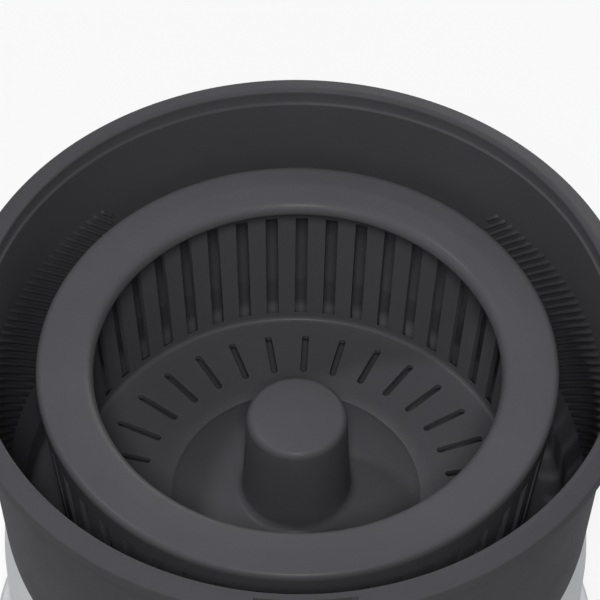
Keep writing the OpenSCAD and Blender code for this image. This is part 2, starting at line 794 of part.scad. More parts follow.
module knob_pointer() {
    color("white") on_dial() rotate(45) translate([-0.75, 3.1, pad_h + knob_gap + knob_h - 1.4])
        cube([1.5, knob_r - 6.3, 0.9]);
}

module switch_shaft() {
    color("silver") on_dial() translate([0, 0, -pad_in - nut_t - 10])
        cylinder(r = switch_shaft_r, h = pad_in + nut_t + 10 + pad_h + knob_gap + knob_h - 3);
}

module board_posts() {
    for (x = [-1, 1], y = [-1, 1])
        at(board_pos, plate_z - 1) translate([x * (board_size.x / 2 - 4), y * (board_size.y / 2 - 4), 0])
            children();
}

module circuit_board() {
    color("seagreen") difference() {
        translate([board_pos.x - board_size.x / 2, board_pos.y - board_size.y / 2, board_z])
            cube([board_size.x, board_size.y, board_t]);
        board_posts() translate([0, 0, board_post - 1]) cylinder(r = 1.3 + loose, h = 6);
    }
}

module board_screws() {
    color("silver") board_posts() translate([0, 0, board_post + 1 + board_t]) mirror([0, 0, 1])
        screw(2.6, 1.6, 1.3, board_t + 6);
}

module rectifier() {
    color("black") translate([board_pos.x + 2, board_pos.y - 12, board_top]) {
        cube([14, 5, 14]);
    }
}

module capacitor() {
    color("steelblue") at(board_pos + [-9, 8], board_top) rotate_extrude()
        polygon(concat([[0, 0]], arc([7.5, 0.8], 0.5, -90, 0, 3), arc([7.5, 19.2], 0.8, 0, 90, 3),
                       [[0, 20]]));
}

module terminal_block() {
    color("white") at(block_pos, plate_z) difference() {
        cube(block_size);
        for (i = [0:2]) translate([4 + i * 7, 6, 5]) cylinder(r = 2, h = 10);
        for (i = [0:2]) translate([4 + i * 7, -1, 5]) rotate([-90, 0, 0]) cylinder(r = 1.6, h = 5);
    }
}

module cord_gland() {
    color("dimgray") translate([0, gland_reach, gland_z]) rotate([90, 0, 0]) difference() {
        union() {
            cylinder(r = gland_r, h = gland_reach - gland_inner + 3);
            cylinder(r = gland_r + 1.8, h = gland_reach - gland_face);
            translate([0, 0, gland_reach - gland_inner]) cylinder(r = gland_r + 1.2, h = 3);
        }
        translate([0, 0, -1]) cylinder(r = gland_bore_r, h = 60);
    }
}

module cord_clamp() {
    color("white") difference() {
        translate([-clamp_half - 4, clamp_y - 4, clamp_low]) cube([2 * clamp_half + 8, 8, clamp_t]);
        translate([0, clamp_y + 5, gland_z]) rotate([90, 0, 0]) cylinder(r = gland_bore_r, h = 10);
        for (x = [-1, 1]) translate([x * clamp_half, clamp_y, clamp_low - 1])
            cylinder(r = 1.5 + loose, h = clamp_t + 2);
    }
}

module clamp_screws() {
    color("silver") for (x = [-1, 1]) translate([x * clamp_half, clamp_y, clamp_low + clamp_t])
        mirror([0, 0, 1]) screw(2.8, 1.8, 1.5, clamp_t + 6);
}

module interlock_plunger() {
    color("lightgray") at(lock_pos) {
        translate([0, 0, lock_plate_z + 3.6]) cylinder(r = 2, h = lock_collar_top - lock_plate_z - 4);
        translate([0, 0, lock_collar_top - 2]) cylinder(r = lock_collar_r, h = 2);
        translate([0, 0, lock_collar_top - 1]) cylinder(r = lock_r, h = lock_top - lock_collar_top + 1);
    }
}

module interlock_bracket() {
    color("white") at(lock_pos) difference() {
        union() {
            translate([-lock_leg, -5, lock_plate_z - lock_plate_t]) cube([2 * lock_leg, 10, lock_plate_t]);
            for (x = [-lock_leg, lock_leg - 2]) translate([x, -5, lock_plate_z - 1])
                cube([2, 10, deck_low - lock_plate_z + 1]);
        }
        translate([0, 0, lock_plate_z - 5]) cylinder(r = 2.6, h = 10);
    }
}

module interlock_switch() {
    color("black") at(lock_pos) {
        translate([-10, -3.2, lock_plate_z - lock_plate_t - 10]) cube([20, 6.4, 10]);
        translate([0, 0, lock_plate_z - lock_plate_t - 1]) cylinder(r = 1.6, h = lock_plate_t + 4.5);
        for (x = [-7, 0, 7]) translate([x - 1.5, -0.3, lock_blade_end]) cube([3, 0.6, 5]);
    }
}

module interlock_spring() {
    turns = 5;
    sides = 16;
    low = lock_plate_z + spring_wire + 0.02;
    h = lock_collar_top - 2 - lock_plate_z - 2 * spring_wire - 0.04;
    color("silver") at(lock_pos, low)
        tube([for (i = [0:turns * sides]) concat(polar(spring_r, i * 360 / sides), h * i / (turns * sides))],
             spring_wire, 6);
}

// A straight end for a wire: it meets p, coming along direction d
function lead(p, d) = [p - 7 * d, p - 3.5 * d, p];
function dial_point(x, z) = [x, -dial_r - z * cos(cone_tilt), dial_z + z * sin(cone_tilt)];

module wire(shade, points) {
    color(shade) tube(spline(points, 5), wire_r);
}

module mains_wires() {
    low = plate_z + 4;
    up = [0, 0, 1];
    to_dial = [0, -cos(cone_tilt), sin(cone_tilt)];
    to_back = [0, 1, 0];
    block_z = plate_z + 5;
    live = [block_pos.x + 4, block_pos.y + 3, block_z];
    neutral = [block_pos.x + 11, block_pos.y + 3, block_z];
    wire("saddlebrown", concat(backwards(lead(live, to_back)),
        [[24, 44, low], [18, 20, low], [10, -20, low], [0, -52, 24], [-6, -64, 44]],
        lead(dial_point(-6, blade_end), to_dial)));
    wire("royalblue", concat(backwards(lead(neutral, to_back)),
        [[42, 50, board_top + 6]],
        lead([51, 38, board_top], -up)));
    wire("saddlebrown", concat(backwards(lead(dial_point(6, blade_end), to_dial)),
        [[14, -64, 44], [34, -62, 36], [50, -54, 34]],
        lead([lock_pos.x - 7, lock_pos.y, lock_blade_end], up)));
    wire("saddlebrown", concat(backwards(lead([lock_pos.x + 7, lock_pos.y, lock_blade_end], up)),
        [[72, -32, 30], [68, -16, 30]],
        lead([66, -9, board_top], -up)));
}

module motor_wires() {
    z = brush_z + brush_h / 2;
    out = [cos(motor_a), sin(motor_a), 0];
    hub = [motor_pos.x, motor_pos.y, z];
    start = brush_out + 1;
    up = [0, 0, 1];
    wire("firebrick", concat([hub + start * out, hub + (start + 4) * out, hub + (start + 8) * out],
        [[10, 60, 18], [26, 34, 24], [38, 16, 27]],
        lead([45, 8, board_top], -up)));
    wire("black", concat([hub - start * out, hub - (start + 4) * out, hub - (start + 8) * out],
        [[-30, 18, 15], [0, 12, 14], [26, 6, 21], [40, 2, 27]],
        lead([45, 2, board_top], -up)));
}

// ---- Bowl ----

// The wedge and the thin ring that hold one scrubbing field, about +X
module rub_field() {
    edge = 2 * rim_r;
    intersection() {
        children();
        translate([0, 0, rub_low]) linear_extrude(rub_top - rub_low)
            polygon([[0, 0], polar(edge, -rub_half), [edge, 0], polar(edge, rub_half)]);
        rotate_extrude($fn = 128) polygon([
            [inner_low_r - rub_h, seat_z], [wall_low_r - bowl_t / 2, seat_z],
            [wall_top_r - bowl_t / 2, rim_z], [inner_top_r - rub_h, rim_z]]);
    }
}

module rub_ribs() {
    long = (rub_top - rub_low) / cos(rub_slope) + 4;
    deep = 12;
    rub_field() for (i = [0:rub_n - 1]) rotate((i - (rub_n - 1) / 2) * rub_pitch)
        translate([wall_low_r - deep + 2, 0, (rub_low + rub_top) / 2]) rotate([rub_slope, 0, 0])
            translate([0, -rub_w / 2, -long / 2]) cube([deep, rub_w, long]);
}

module bowl() {
    color("dimgray") {
        rotate_extrude($fn = 128) polygon(concat(
            // Outside, from the cup's rim up to the rim
            [[cup_r - cup_t, bowl_low], [sump_r - 3, bowl_low]],
            arc([sump_r - 3, bowl_low + 3], 3, -90, 0, 4),
            [[sump_r, seat_z]],
            arc([wall_low_r - shoulder_r, seat_z + shoulder_r], shoulder_r, -90, 0, 5),
            [[wall_top_r, rim_z - lip_h - 1]],
            [[rim_r - 0.8, rim_z - lip_h]],
            [[rim_r, rim_z - lip_h + 0.8]],
            arc([rim_r - 0.7, rim_z - 0.7], 0.7, 0, 90, 4),
            [[rim_r - 1.2, rim_z], [rim_r - 2.1, rim_z - groove_h], [mouth_r + 3.2, rim_z - groove_h],
             [mouth_r + 2.2, rim_z]],
            arc([mouth_r + 0.8, rim_z - 0.8], 0.8, 90, 180, 4),
            // Inside, down the wall to the floor
            [[mouth_r, rim_z - 5], [inner_top_r, rim_z - 5.6]],
            arc([inner_low_r - 5, seat_z + 9], 5, 0, -55, 5),
            arc([sump_in + 2.5, seat_z + 0.6], 2.5, 145, 180, 3),
            arc([sump_in - 4, bowl_floor + 4], 4, 0, -90, 5),
            [[cup_r + 2, bowl_floor], [cup_r, bowl_floor + 2], [cup_r, cup_top - 2]],
            arc([cup_r - 2, cup_top - 2], 2, 0, 90, 4),
            [[tube_r, cup_top], [tube_r, tube_top - 1], [tube_r - 1, tube_top],
             [shaft_bush_r + press, tube_top], [shaft_bush_r + press, cup_top - cup_t],
             [cup_r - cup_t, cup_top - cup_t]]));
        rub_ribs();
        mirror([1, 0, 0]) rub_ribs();
        for (a = latch_angles) rotate(a) translate([mouth_r + 1.5, -latch_rib_w / 2, rim_z - lip_h + 1])
            cube([rim_r - mouth_r - 2.6, latch_rib_w, lip_h - 1.2]);
    }
}

module bowl_bush_lower() {
    color("goldenrod") translate([0, 0, cup_top - cup_t]) pipe(shaft_bush_r, shaft_r + run, 8);
}

module bowl_bush_upper() {
    color("goldenrod") translate([0, 0, tube_top]) {
        pipe(shaft_bush_r + 2, shaft_r + run, flange_t);
        translate([0, 0, -8]) pipe(shaft_bush_r, shaft_r + run, 8);
    }
}

// ---- Drive shaft carried in the bowl ----

module drive_shaft() {
    color("silver") difference() {
        translate([0, 0, shaft_low]) cylinder(r = shaft_r, h = shaft_top - shaft_low);
        translate([0, 0, shaft_top - 12]) cylinder(r = 2 + press, h = 13);
        translate([0, 0, (shaft_low + coupling_top) / 2]) rotate([90, 0, 0])
            cylinder(r = 1 + press, h = 20, center = true);
    }
}

module drive_coupling() {
    color("black") difference() {
        translate([0, 0, coupling_low]) cylinder(r = coupling_r, h = coupling_top - coupling_low);
        translate([0, 0, coupling_low - 1]) linear_extrude(dog_top + 0.6 - coupling_low + 1)
            dog_outline(dog_play);
        translate([0, 0, coupling_low]) cylinder(r = shaft_r + press, h = 30);
        translate([0, 0, (shaft_low + coupling_top) / 2]) rotate([90, 0, 0])
            cylinder(r = 1 + press, h = 40, center = true);
    }
}

module coupling_pin() {
    color("silver") translate([0, 0, (shaft_low + coupling_top) / 2]) rotate([90, 0, 0])
        cylinder(r = 1, h = 2 * coupling_r - 1, center = true);
}

module drive_washer() {
    color("silver") translate([0, 0, tube_top + flange_t]) pipe(shaft_bush_r + 1.5, shaft_r + run, washer_t);
}

module spline_outline(play) {
    circle(r = driver_r - 2.4 + play);
    for (a = [0:60:300]) rotate(a) translate([0, -1.6 - play]) square([driver_r + play, 3.2 + 2 * play]);
}

module basket_driver() {
    color("black") difference() {
        translate([0, 0, driver_low]) linear_extrude(driver_h) spline_outline(0);
        translate([0, 0, driver_low - 1]) cylinder(r = shaft_r + press, h = shaft_top - driver_low + 1);
        translate([0, 0, driver_low]) cylinder(r = 2 + loose, h = 30);
        translate([0, 0, driver_top - screw_seat]) cylinder(r = 4.4, h = 6);
    }
}

module driver_screw() {
    color("silver") translate([0, 0, driver_top - screw_seat]) mirror([0, 0, 1])
        screw(3.8, 2.6, 2, driver_web + 10);
}

// ---- Basket ----

module basket() {
    roof_z = hub_top - hub_roof;
    fillet_c = [hub_foot_r + hub_fillet, basket_floor + hub_step_h + hub_fillet];
    under_r = hub_fillet + basket_t;
    color("dimgray") difference() {
        rotate_extrude($fn = 128) polygon(concat(
            // Inside, from the hub's top down, over the floor and up the wall
            [[0, hub_top + 0.6], [hub_r * 0.5, hub_top + 0.35]],
            arc([hub_r - 3, hub_top - 3], 3, 85, 0, 5),
            arc(fillet_c, hub_fillet, 180, 270, 7),
            [[hub_step_r - 1, basket_floor + hub_step_h], [hub_step_r + 0.6, basket_floor]],
            arc([basket_floor_r - 3, basket_floor + 3], 3, -90, 0, 5),
            [[basket_wall_r - basket_t, wall_head - 2]],
            [[basket_wall_r - basket_t - 2, basket_top - basket_t - 0.4],
             [basket_mouth_r + 3, basket_top - basket_t + 0.1]],
            [[basket_mouth_r + 1.6, basket_top - 4.6]],
            arc([basket_mouth_r + 0.7, basket_top - 4.4], 0.7, -60, -180, 4),
            // The rim's crown, outwards, then down the outside
            arc([basket_mouth_r + 4, basket_top - 4.6], 4, 175, 100, 5),
            [[(basket_mouth_r + basket_r) / 2, basket_top + 0.4]],
            arc([basket_r - rim_bend, basket_top - rim_bend], rim_bend, 85, 0, 6),
            [[basket_floor_r + basket_t, basket_floor + 2]],
            arc([basket_floor_r + basket_t - 4, basket_floor - basket_t + 4], 4, 0, -90, 5),
            // Under the floor and up inside the hub
            arc(fillet_c, under_r, 270, 180, 7),
            [[hub_r - basket_t, roof_z - 0.8], [hub_r - basket_t - 0.8, roof_z], [0, roof_z]]));
        for (i = [0:slot_n - 1]) rotate(90 - slot_phase + i * 360 / slot_n)
            translate([basket_floor_r - 6, -slot_w / 2, slot_low]) cube([20, slot_w, slot_h]);
        for (i = [0:floor_slot_n - 1]) rotate(90 - floor_slot_phase + i * 360 / floor_slot_n)
            translate([floor_slot_r, 0, basket_floor - 5]) {
                translate([floor_slot_w / 2, -floor_slot_w / 2, 0])
                    cube([floor_slot_l - floor_slot_w, floor_slot_w, 8]);
                for (x = [floor_slot_w / 2, floor_slot_l - floor_slot_w / 2]) translate([x, 0, 0])
                    cylinder(r = floor_slot_w / 2, h = 8);
            }
    }
}

module basket_socket() {
    socket_r = hub_r - basket_t - loose;
    color("black") difference() {
        translate([0, 0, driver_low + 0.5])
            cylinder(r = socket_r, h = driver_top + socket_roof - driver_low - 1.3);
        translate([0, 0, driver_low]) linear_extrude(driver_h) spline_outline(dog_play);
    }
    color("black") translate([0, 0, driver_top + socket_roof - 1]) cylinder(r = socket_r - 1.2, h = 1);
}

housing_shell();
base_plate();
base_screws();
rubber_feet();
gear_case();
gear_cover();
gear_case_screws();
spindle_bush_lower();
spindle_bush_upper();
spindle_seal();
layshaft_pin();
motor_can();
motor_end_cap();
motor_magnets();
motor_bushes();
motor_screws();
brush_holders();
carbon_brushes();
rotary_switch();
switch_nut();
dial_ring();
circuit_board();
board_screws();
rectifier();
capacitor();
terminal_block();
cord_gland();
cord_clamp();
clamp_screws();
interlock_bracket();
interlock_switch();
interlock_spring();
mains_wires();
motor_wires();
knob();
knob_pointer();
switch_shaft();
interlock_plunger();
spindle();
spindle_gear();
drive_dog();
dog_pin();
lay_gear();
motor_shaft();
rotor_core();
rotor_windings();
commutator();
motor_pinion();
bowl();
bowl_bush_lower();
bowl_bush_upper();
drive_shaft();
drive_coupling();
coupling_pin();
drive_washer();
basket_driver();
driver_screw();
basket();
basket_socket();
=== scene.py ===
"""Looks of the electric potato peeler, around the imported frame.

Profiles are written in millimetres, as (r, z) round the Z axis, and become metres when a piece is
added to the scene.
"""
import json
import math

import bmesh
import bpy
from mathutils import Matrix, Vector


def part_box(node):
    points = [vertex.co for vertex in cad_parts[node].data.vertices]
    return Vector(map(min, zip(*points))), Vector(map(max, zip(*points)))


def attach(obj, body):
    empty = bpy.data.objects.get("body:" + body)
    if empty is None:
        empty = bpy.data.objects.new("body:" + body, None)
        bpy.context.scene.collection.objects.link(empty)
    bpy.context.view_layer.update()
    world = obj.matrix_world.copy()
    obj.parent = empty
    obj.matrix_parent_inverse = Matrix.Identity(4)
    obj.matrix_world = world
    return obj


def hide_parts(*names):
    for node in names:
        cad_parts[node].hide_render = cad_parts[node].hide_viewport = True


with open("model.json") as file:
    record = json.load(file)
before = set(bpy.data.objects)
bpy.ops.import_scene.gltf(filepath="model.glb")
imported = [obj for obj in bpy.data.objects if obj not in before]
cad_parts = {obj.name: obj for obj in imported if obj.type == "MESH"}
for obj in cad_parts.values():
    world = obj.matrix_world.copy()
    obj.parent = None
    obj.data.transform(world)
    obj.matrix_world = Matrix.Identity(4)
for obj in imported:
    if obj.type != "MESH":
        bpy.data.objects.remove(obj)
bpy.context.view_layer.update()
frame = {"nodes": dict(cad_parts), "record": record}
MM = 0.001
scene = bpy.context.scene


def mm_box(node):
    """Lowest and highest corner of a CAD node, in millimetres."""
    low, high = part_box(node)
    return Vector(low) / MM, Vector(high) / MM


# ---- Sizes taken from the frame ----

bowl_low, bowl_high = mm_box("bowl")
basket_high = mm_box("basket")[1]
RIM_Z, RIM_R = bowl_high.z, bowl_high.x
SEAT_Z = mm_box("housing_shell")[1].z  # where the bowl's shoulder rests on the housing


# ---- Camera ----

CAMERA_TILT = math.radians(50.81)      # above the horizon
CAMERA_ROLL = math.radians(0.665)
CAMERA_DISTANCE = 8 * RIM_R            # from the centre of the bowl's rim
CAMERA_CLIP = 0.05                     # metres
FOCAL_PIXELS = 2755.0
IMAGE_PIXELS = 600
RIM_CENTRE_PIXEL = (298.1, 323.6)
SENSOR_WIDTH = 36


def make_camera():
    data = bpy.data.cameras.new("camera")
    camera = bpy.data.objects.new("camera", data)
    scene.collection.objects.link(camera)
    back = Vector((0, -math.cos(CAMERA_TILT), math.sin(CAMERA_TILT)))
    camera.location = (Vector((0, 0, RIM_Z)) + CAMERA_DISTANCE * back) * MM
    tilt = Matrix.Rotation(math.pi / 2 - CAMERA_TILT, 3, "X")
    camera.rotation_euler = (tilt @ Matrix.Rotation(CAMERA_ROLL, 3, "Z")).to_euler()
    data.sensor_width = SENSOR_WIDTH
    data.lens = SENSOR_WIDTH * FOCAL_PIXELS / IMAGE_PIXELS
    data.shift_x = (IMAGE_PIXELS / 2 - RIM_CENTRE_PIXEL[0]) / IMAGE_PIXELS
    data.shift_y = (RIM_CENTRE_PIXEL[1] - IMAGE_PIXELS / 2) / IMAGE_PIXELS
    data.clip_start = CAMERA_CLIP
    scene.camera = camera


# ---- Materials ----

class Shader:
    """A Principled material and short ways to add nodes to it.

    Scales are per metre, in object space, and bump depths are in metres.
    """

    def __init__(self, name):
        self.material = bpy.data.materials.new(name)
        self.material.use_nodes = True
        self.tree = self.material.node_tree
        self.main = self.tree.nodes["Principled BSDF"]
        self.space = self.node("ShaderNodeTexCoord").outputs["Object"]
        self.height = None

    def node(self, kind, **values):
        made = self.tree.nodes.new(kind)
        for key, value in values.items():
            setattr(made, key, value)
        return made

    def link(self, a, b):
        self.tree.links.new(a, b)

    def set(self, **values):
        """Sets inputs of the Principled shader, with _ for a space in their names."""
        for key, value in values.items():
            self.main.inputs[key.replace("_", " ")].default_value = value

    def stretched(self, scale):
        mapping = self.node("ShaderNodeMapping")
        mapping.inputs["Scale"].default_value = scale
        self.link(self.space, mapping.inputs["Vector"])
        return mapping.outputs["Vector"]

    def noise(self, scale, detail=3.0, rough=0.55, stretch=None):
        made = self.node("ShaderNodeTexNoise")
        made.inputs["Scale"].default_value = scale
        made.inputs["Detail"].default_value = detail
        made.inputs["Roughness"].default_value = rough
        self.link(self.stretched(stretch) if stretch else self.space, made.inputs["Vector"])
        return made.outputs["Fac"]

    def cells(self, scale):
        made = self.node("ShaderNodeTexVoronoi")
        made.inputs["Scale"].default_value = scale
        self.link(self.space, made.inputs["Vector"])
        return made.outputs["Distance"]

    def between(self, fac, low, high, start=0.3, stop=0.7):
        """A number that goes from low to high as fac goes from start to stop."""
        made = self.node("ShaderNodeMapRange")
        ends = (("From Min", start), ("From Max", stop), ("To Min", low), ("To Max", high))
        for key, value in ends:
            made.inputs[key].default_value = value
        self.link(fac, made.inputs["Value"])
        return made.outputs["Result"]

    def ramp(self, fac, stops):
        """A colour from a row of (place, colour) stops."""
        made = self.node("ShaderNodeValToRGB")
        band = made.color_ramp
        while len(band.elements) < len(stops):
            band.elements.new(0.5)
        for element, (place, colour) in zip(band.elements, stops):
            element.position = place
            element.color = (*colour, 1)
        self.link(fac, made.inputs["Fac"])
        return made.outputs["Color"]

    def colour(self, socket):
        self.link(socket, self.main.inputs["Base Color"])

    def roughness(self, socket):
        self.link(socket, self.main.inputs["Roughness"])

    def bump(self, height, depth):
        """Adds a bump over the ones added before."""
        made = self.node("ShaderNodeBump")
        made.inputs["Strength"].default_value = 1.0
        made.inputs["Distance"].default_value = depth
        self.link(height, made.inputs["Height"])
        if self.height:
            self.link(self.height, made.inputs["Normal"])
        self.height = made.outputs["Normal"]
        self.link(self.height, self.main.inputs["Normal"])


def shade(colour, factor):
    return tuple(min(1.0, c * factor) for c in colour)


FLOW_SCALE, MARK_SCALE, SPECK_SCALE = 14, 45, 900      # flow marks, handling marks, specks
SPECK_SHARE = 0.6                      # depth of the specks over that of the grain
PLASTIC_IOR, COAT_ROUGHNESS = 1.5, 0.25
STAIN_SCALE, STAIN_SHADE = 90, 0.86    # duller patches on metal
DUST_SCALE, DUST_SHADE = 120, 1.6
RUBBER_GRAIN_SCALE, RUBBER_GRAIN = 1500, 0.00006
TURN_SCALE, TURN_DEPTH = 260, 0.0002   # turns of wire
TRACK_SCALE, TRACK_DEPTH = 260, 0.00003


def plastic(name, colour, rough=0.5, grain=0.00004, grain_scale=2600, spread=0.08, coat=0.0,
            shine=0.5, wear=0.07):
    """Moulded plastic: an eroded-mould grain, slow flow marks, faint handling marks."""
    s = Shader(name)
    flow = s.noise(FLOW_SCALE, 4, 0.6)
    s.colour(s.ramp(flow, ((0.35, shade(colour, 1 - spread)), (0.65, shade(colour, 1 + spread)))))
    marks = s.noise(MARK_SCALE, 6, 0.7)
    s.roughness(s.between(marks, rough - wear, rough + wear, 0.2, 0.8))
    s.bump(s.noise(grain_scale, 2), grain)
    s.bump(s.between(s.noise(SPECK_SCALE, 2), 0, 1), grain * SPECK_SHARE)
    s.set(IOR=PLASTIC_IOR, Specular_IOR_Level=shine, Coat_Weight=coat,
          Coat_Roughness=COAT_ROUGHNESS)
    return s.material


def metal(name, colour, rough=0.3, stretch=(1, 1, 60), scale=60, depth=0.00002):
    """Drawn or turned metal: fine lines along one direction, patches of duller finish."""
    s = Shader(name)
    lines = s.noise(scale, 4, 0.6, stretch)
    stains = s.noise(STAIN_SCALE, 5, 0.65)
    s.colour(s.ramp(stains, ((0.3, shade(colour, STAIN_SHADE)), (0.7, colour))))
    s.roughness(s.between(lines, rough - 0.08, rough + 0.12))
    s.bump(lines, depth)
    s.set(Metallic=1.0)
    return s.material


def rubber(name, colour, rough=0.75):
    """Black rubber with a fine grain and a little dust."""
    s = Shader(name)
    dust = s.noise(DUST_SCALE, 6, 0.7)
    s.colour(s.ramp(dust, ((0.35, colour), (0.75, shade(colour, DUST_SHADE)))))
    s.roughness(s.between(dust, rough - 0.05, rough + 0.12))
    s.bump(s.noise(RUBBER_GRAIN_SCALE), RUBBER_GRAIN)
    s.set(Specular_IOR_Level=0.35)
    return s.material


def enamel_wire(name, colour):
    """Turns of enamelled wire, side by side round the rotor."""
    s = Shader(name)
    wave = s.node("ShaderNodeTexWave", wave_type="RINGS", rings_direction="Z")
    wave.inputs["Scale"].default_value = TURN_SCALE
    wave.inputs["Distortion"].default_value = 1.5
    s.link(s.space, wave.inputs["Vector"])
    s.colour(s.ramp(wave.outputs["Fac"], ((0.1, shade(colour, 0.35)), (0.6, colour))))
    s.bump(wave.outputs["Fac"], TURN_DEPTH)
    s.set(Metallic=0.6, Roughness=0.32, Coat_Weight=0.4)
    return s.material


def printed_board(name, colour):
    """Lacquered board with paler tracks."""
    s = Shader(name)
    tracks = s.cells(TRACK_SCALE)
    s.colour(s.ramp(tracks, ((0.30, shade(colour, 1.7)), (0.36, colour))))
    s.bump(tracks, TRACK_DEPTH)
    s.roughness(s.between(s.noise(300), 0.28, 0.42))
    s.set(Coat_Weight=0.5)
    return s.material


CHARCOAL = (0.070, 0.0685, 0.076)
EVEN = (1, 1, 1)                       # a metal's lines run in no direction
LOOKS = {
    "shell_white": (plastic, dict(colour=(0.80, 0.815, 0.84), rough=0.34, grain=0.000008,
                                  grain_scale=1500, spread=0.006, coat=0.2, wear=0.02)),
    "base_white": (plastic, dict(colour=(0.72, 0.735, 0.76), grain_scale=1800, spread=0.03)),
    "bowl_charcoal": (plastic, dict(colour=CHARCOAL, rough=0.55, grain=0.00005,
                                    grain_scale=2200, spread=0.06, shine=0.07)),
    # The basket's charcoal is the bowl's charcoal made 15 % lighter. This is painted light: it
    # brightens the inside of the basket, which the lamps reach too little.
    "basket_charcoal": (plastic, dict(colour=shade(CHARCOAL, 1.15), rough=0.48, grain=0.00005,
                                      grain_scale=2200, spread=0.06, coat=0.05, shine=0.1)),
    "knob_grey": (plastic, dict(colour=(0.055, 0.055, 0.06), rough=0.42, grain_scale=2400)),
    "pointer_white": (plastic, dict(colour=(0.85, 0.85, 0.86), rough=0.4, grain=0.00002,
                                    grain_scale=1800, spread=0.02)),
    "case_grey": (plastic, dict(colour=(0.26, 0.27, 0.29), rough=0.55, grain=0.00008,
                                grain_scale=1200, spread=0.12)),
    "gear_ivory": (plastic, dict(colour=(0.78, 0.74, 0.62), rough=0.38, grain=0.00002,
                                 grain_scale=1400, spread=0.03)),
    "black_plastic": (plastic, dict(colour=(0.030, 0.030, 0.033), rough=0.45, grain=0.00005,
                                    grain_scale=1600, spread=0.12)),
    "magnet": (plastic, dict(colour=(0.07, 0.065, 0.065), rough=0.7, grain=0.00015,
                             grain_scale=900, spread=0.2)),
    "carbon": (plastic, dict(colour=(0.045, 0.045, 0.045), rough=0.6, grain=0.0001,
                             grain_scale=1100, spread=0.25)),
    "capacitor_blue": (plastic, dict(colour=(0.04, 0.08, 0.25), rough=0.3, grain=0.00001,
                                     grain_scale=1500, spread=0.06, coat=0.5)),
    "wire_brown": (plastic, dict(colour=(0.17, 0.075, 0.03), rough=0.4, grain=0.00002,
                                 grain_scale=1500)),
    "wire_red": (plastic, dict(colour=(0.40, 0.02, 0.02), rough=0.4, grain=0.00002,
                               grain_scale=1500)),
    "ring_silver": (metal, dict(colour=(0.72, 0.73, 0.75), rough=0.28, stretch=EVEN, scale=900)),
    "steel": (metal, dict(colour=(0.62, 0.62, 0.63), rough=0.26)),
    "zinc_steel": (metal, dict(colour=(0.70, 0.70, 0.66), rough=0.34, stretch=EVEN, scale=500)),
    "bronze": (metal, dict(colour=(0.60, 0.42, 0.22), rough=0.48, stretch=EVEN, scale=1400,
                           depth=0.00006)),
    "brass": (metal, dict(colour=(0.80, 0.60, 0.28), rough=0.30)),
    "can_steel": (metal, dict(colour=(0.66, 0.67, 0.70), rough=0.2)),
    "core_steel": (metal, dict(colour=(0.36, 0.36, 0.37), rough=0.5, stretch=(1, 1, 30),
                               scale=120, depth=0.00008)),
    "rubber_black": (rubber, dict(colour=(0.028, 0.028, 0.030))),
    "copper": (enamel_wire, dict(colour=(0.72, 0.30, 0.14))),
    "board_green": (printed_board, dict(colour=(0.02, 0.17, 0.07))),
}
MATERIALS = {}


def material_of(slot):
    """The material of a slot, made when it is first asked for."""
    if slot not in MATERIALS:
        maker, look = LOOKS[slot]
        MATERIALS[slot] = maker(slot, **look)
    return MATERIALS[slot]


def dress_cad_nodes():
    slots = {part["node"]: part["material_slot"] for part in frame["record"]["subparts"]}
    for name, piece in frame["nodes"].items():
        piece.data.materials.clear()
        piece.data.materials.append(material_of(slots[name]))


# ---- Mesh tools ----

SHARP = 35                             # degrees, from which an edge stays sharp
WELD = 0.0005                          # millimetres


def arc(centre, radius, start, stop, steps=6):
    """Points on an arc, angles in degrees."""
    turn = [math.radians(start + (stop - start) * k / steps) for k in range(steps + 1)]
    return [(centre[0] + radius * math.cos(a), centre[1] + radius * math.sin(a)) for a in turn]


def resample(line, count):
    """count points, evenly spaced along a line of points, ends kept."""
    gaps = [math.dist(a, b) for a, b in zip(line, line[1:])]
    total = sum(gaps)
    out = []
    for k in range(count):
        want = total * k / (count - 1)
        index = 0
        while index < len(gaps) - 1 and want > gaps[index]:
            want -= gaps[index]
            index += 1
        part = want / gaps[index] if gaps[index] else 0
        a, b = line[index], line[index + 1]
        out.append((a[0] + (b[0] - a[0]) * part, a[1] + (b[1] - a[1]) * part))
    return out


def turned(r, degrees, z):
    """The point at a radius and an angle round the Z axis."""
    turn = math.radians(degrees)
    return r * math.cos(turn), r * math.sin(turn), z


def even_angles(count):
    return [360 * j / count for j in range(count)]


def add_piece(name, mesh, body, slot, replaced=(), sharp=SHARP, bevel=0.0):
    """Links a mesh whose points are in millimetres, smooths it and hangs it on its body."""
    mesh.transform(Matrix.Scale(MM, 4))
    piece = bpy.data.objects.new(name, mesh)
    scene.collection.objects.link(piece)
    for face in mesh.polygons:
        face.use_smooth = True
    mesh.set_sharp_from_angle(angle=math.radians(sharp))
    if bevel:
        soft = piece.modifiers.new("soft_edges", "BEVEL")
        soft.width = bevel * MM
        soft.segments = 2
        soft.limit_method = "ANGLE"
        soft.angle_limit = math.radians(sharp)
        soft.harden_normals = True
    mesh.materials.append(material_of(slot))
    if replaced:
        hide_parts(*replaced)
    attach(piece, body)
    return piece


def finish_mesh(name, verts, faces):
    """A welded mesh whose faces all point outwards."""
    mesh = bpy.data.meshes.new(name)
    mesh.from_pydata(verts, [], faces)
    work = bmesh.new()
    work.from_mesh(mesh)
    bmesh.ops.remove_doubles(work, verts=work.verts, dist=WELD)
    bmesh.ops.dissolve_degenerate(work, dist=WELD, edges=work.edges)
    bmesh.ops.recalc_face_normals(work, faces=work.faces)
    work.to_mesh(mesh)
    work.free()
    return mesh


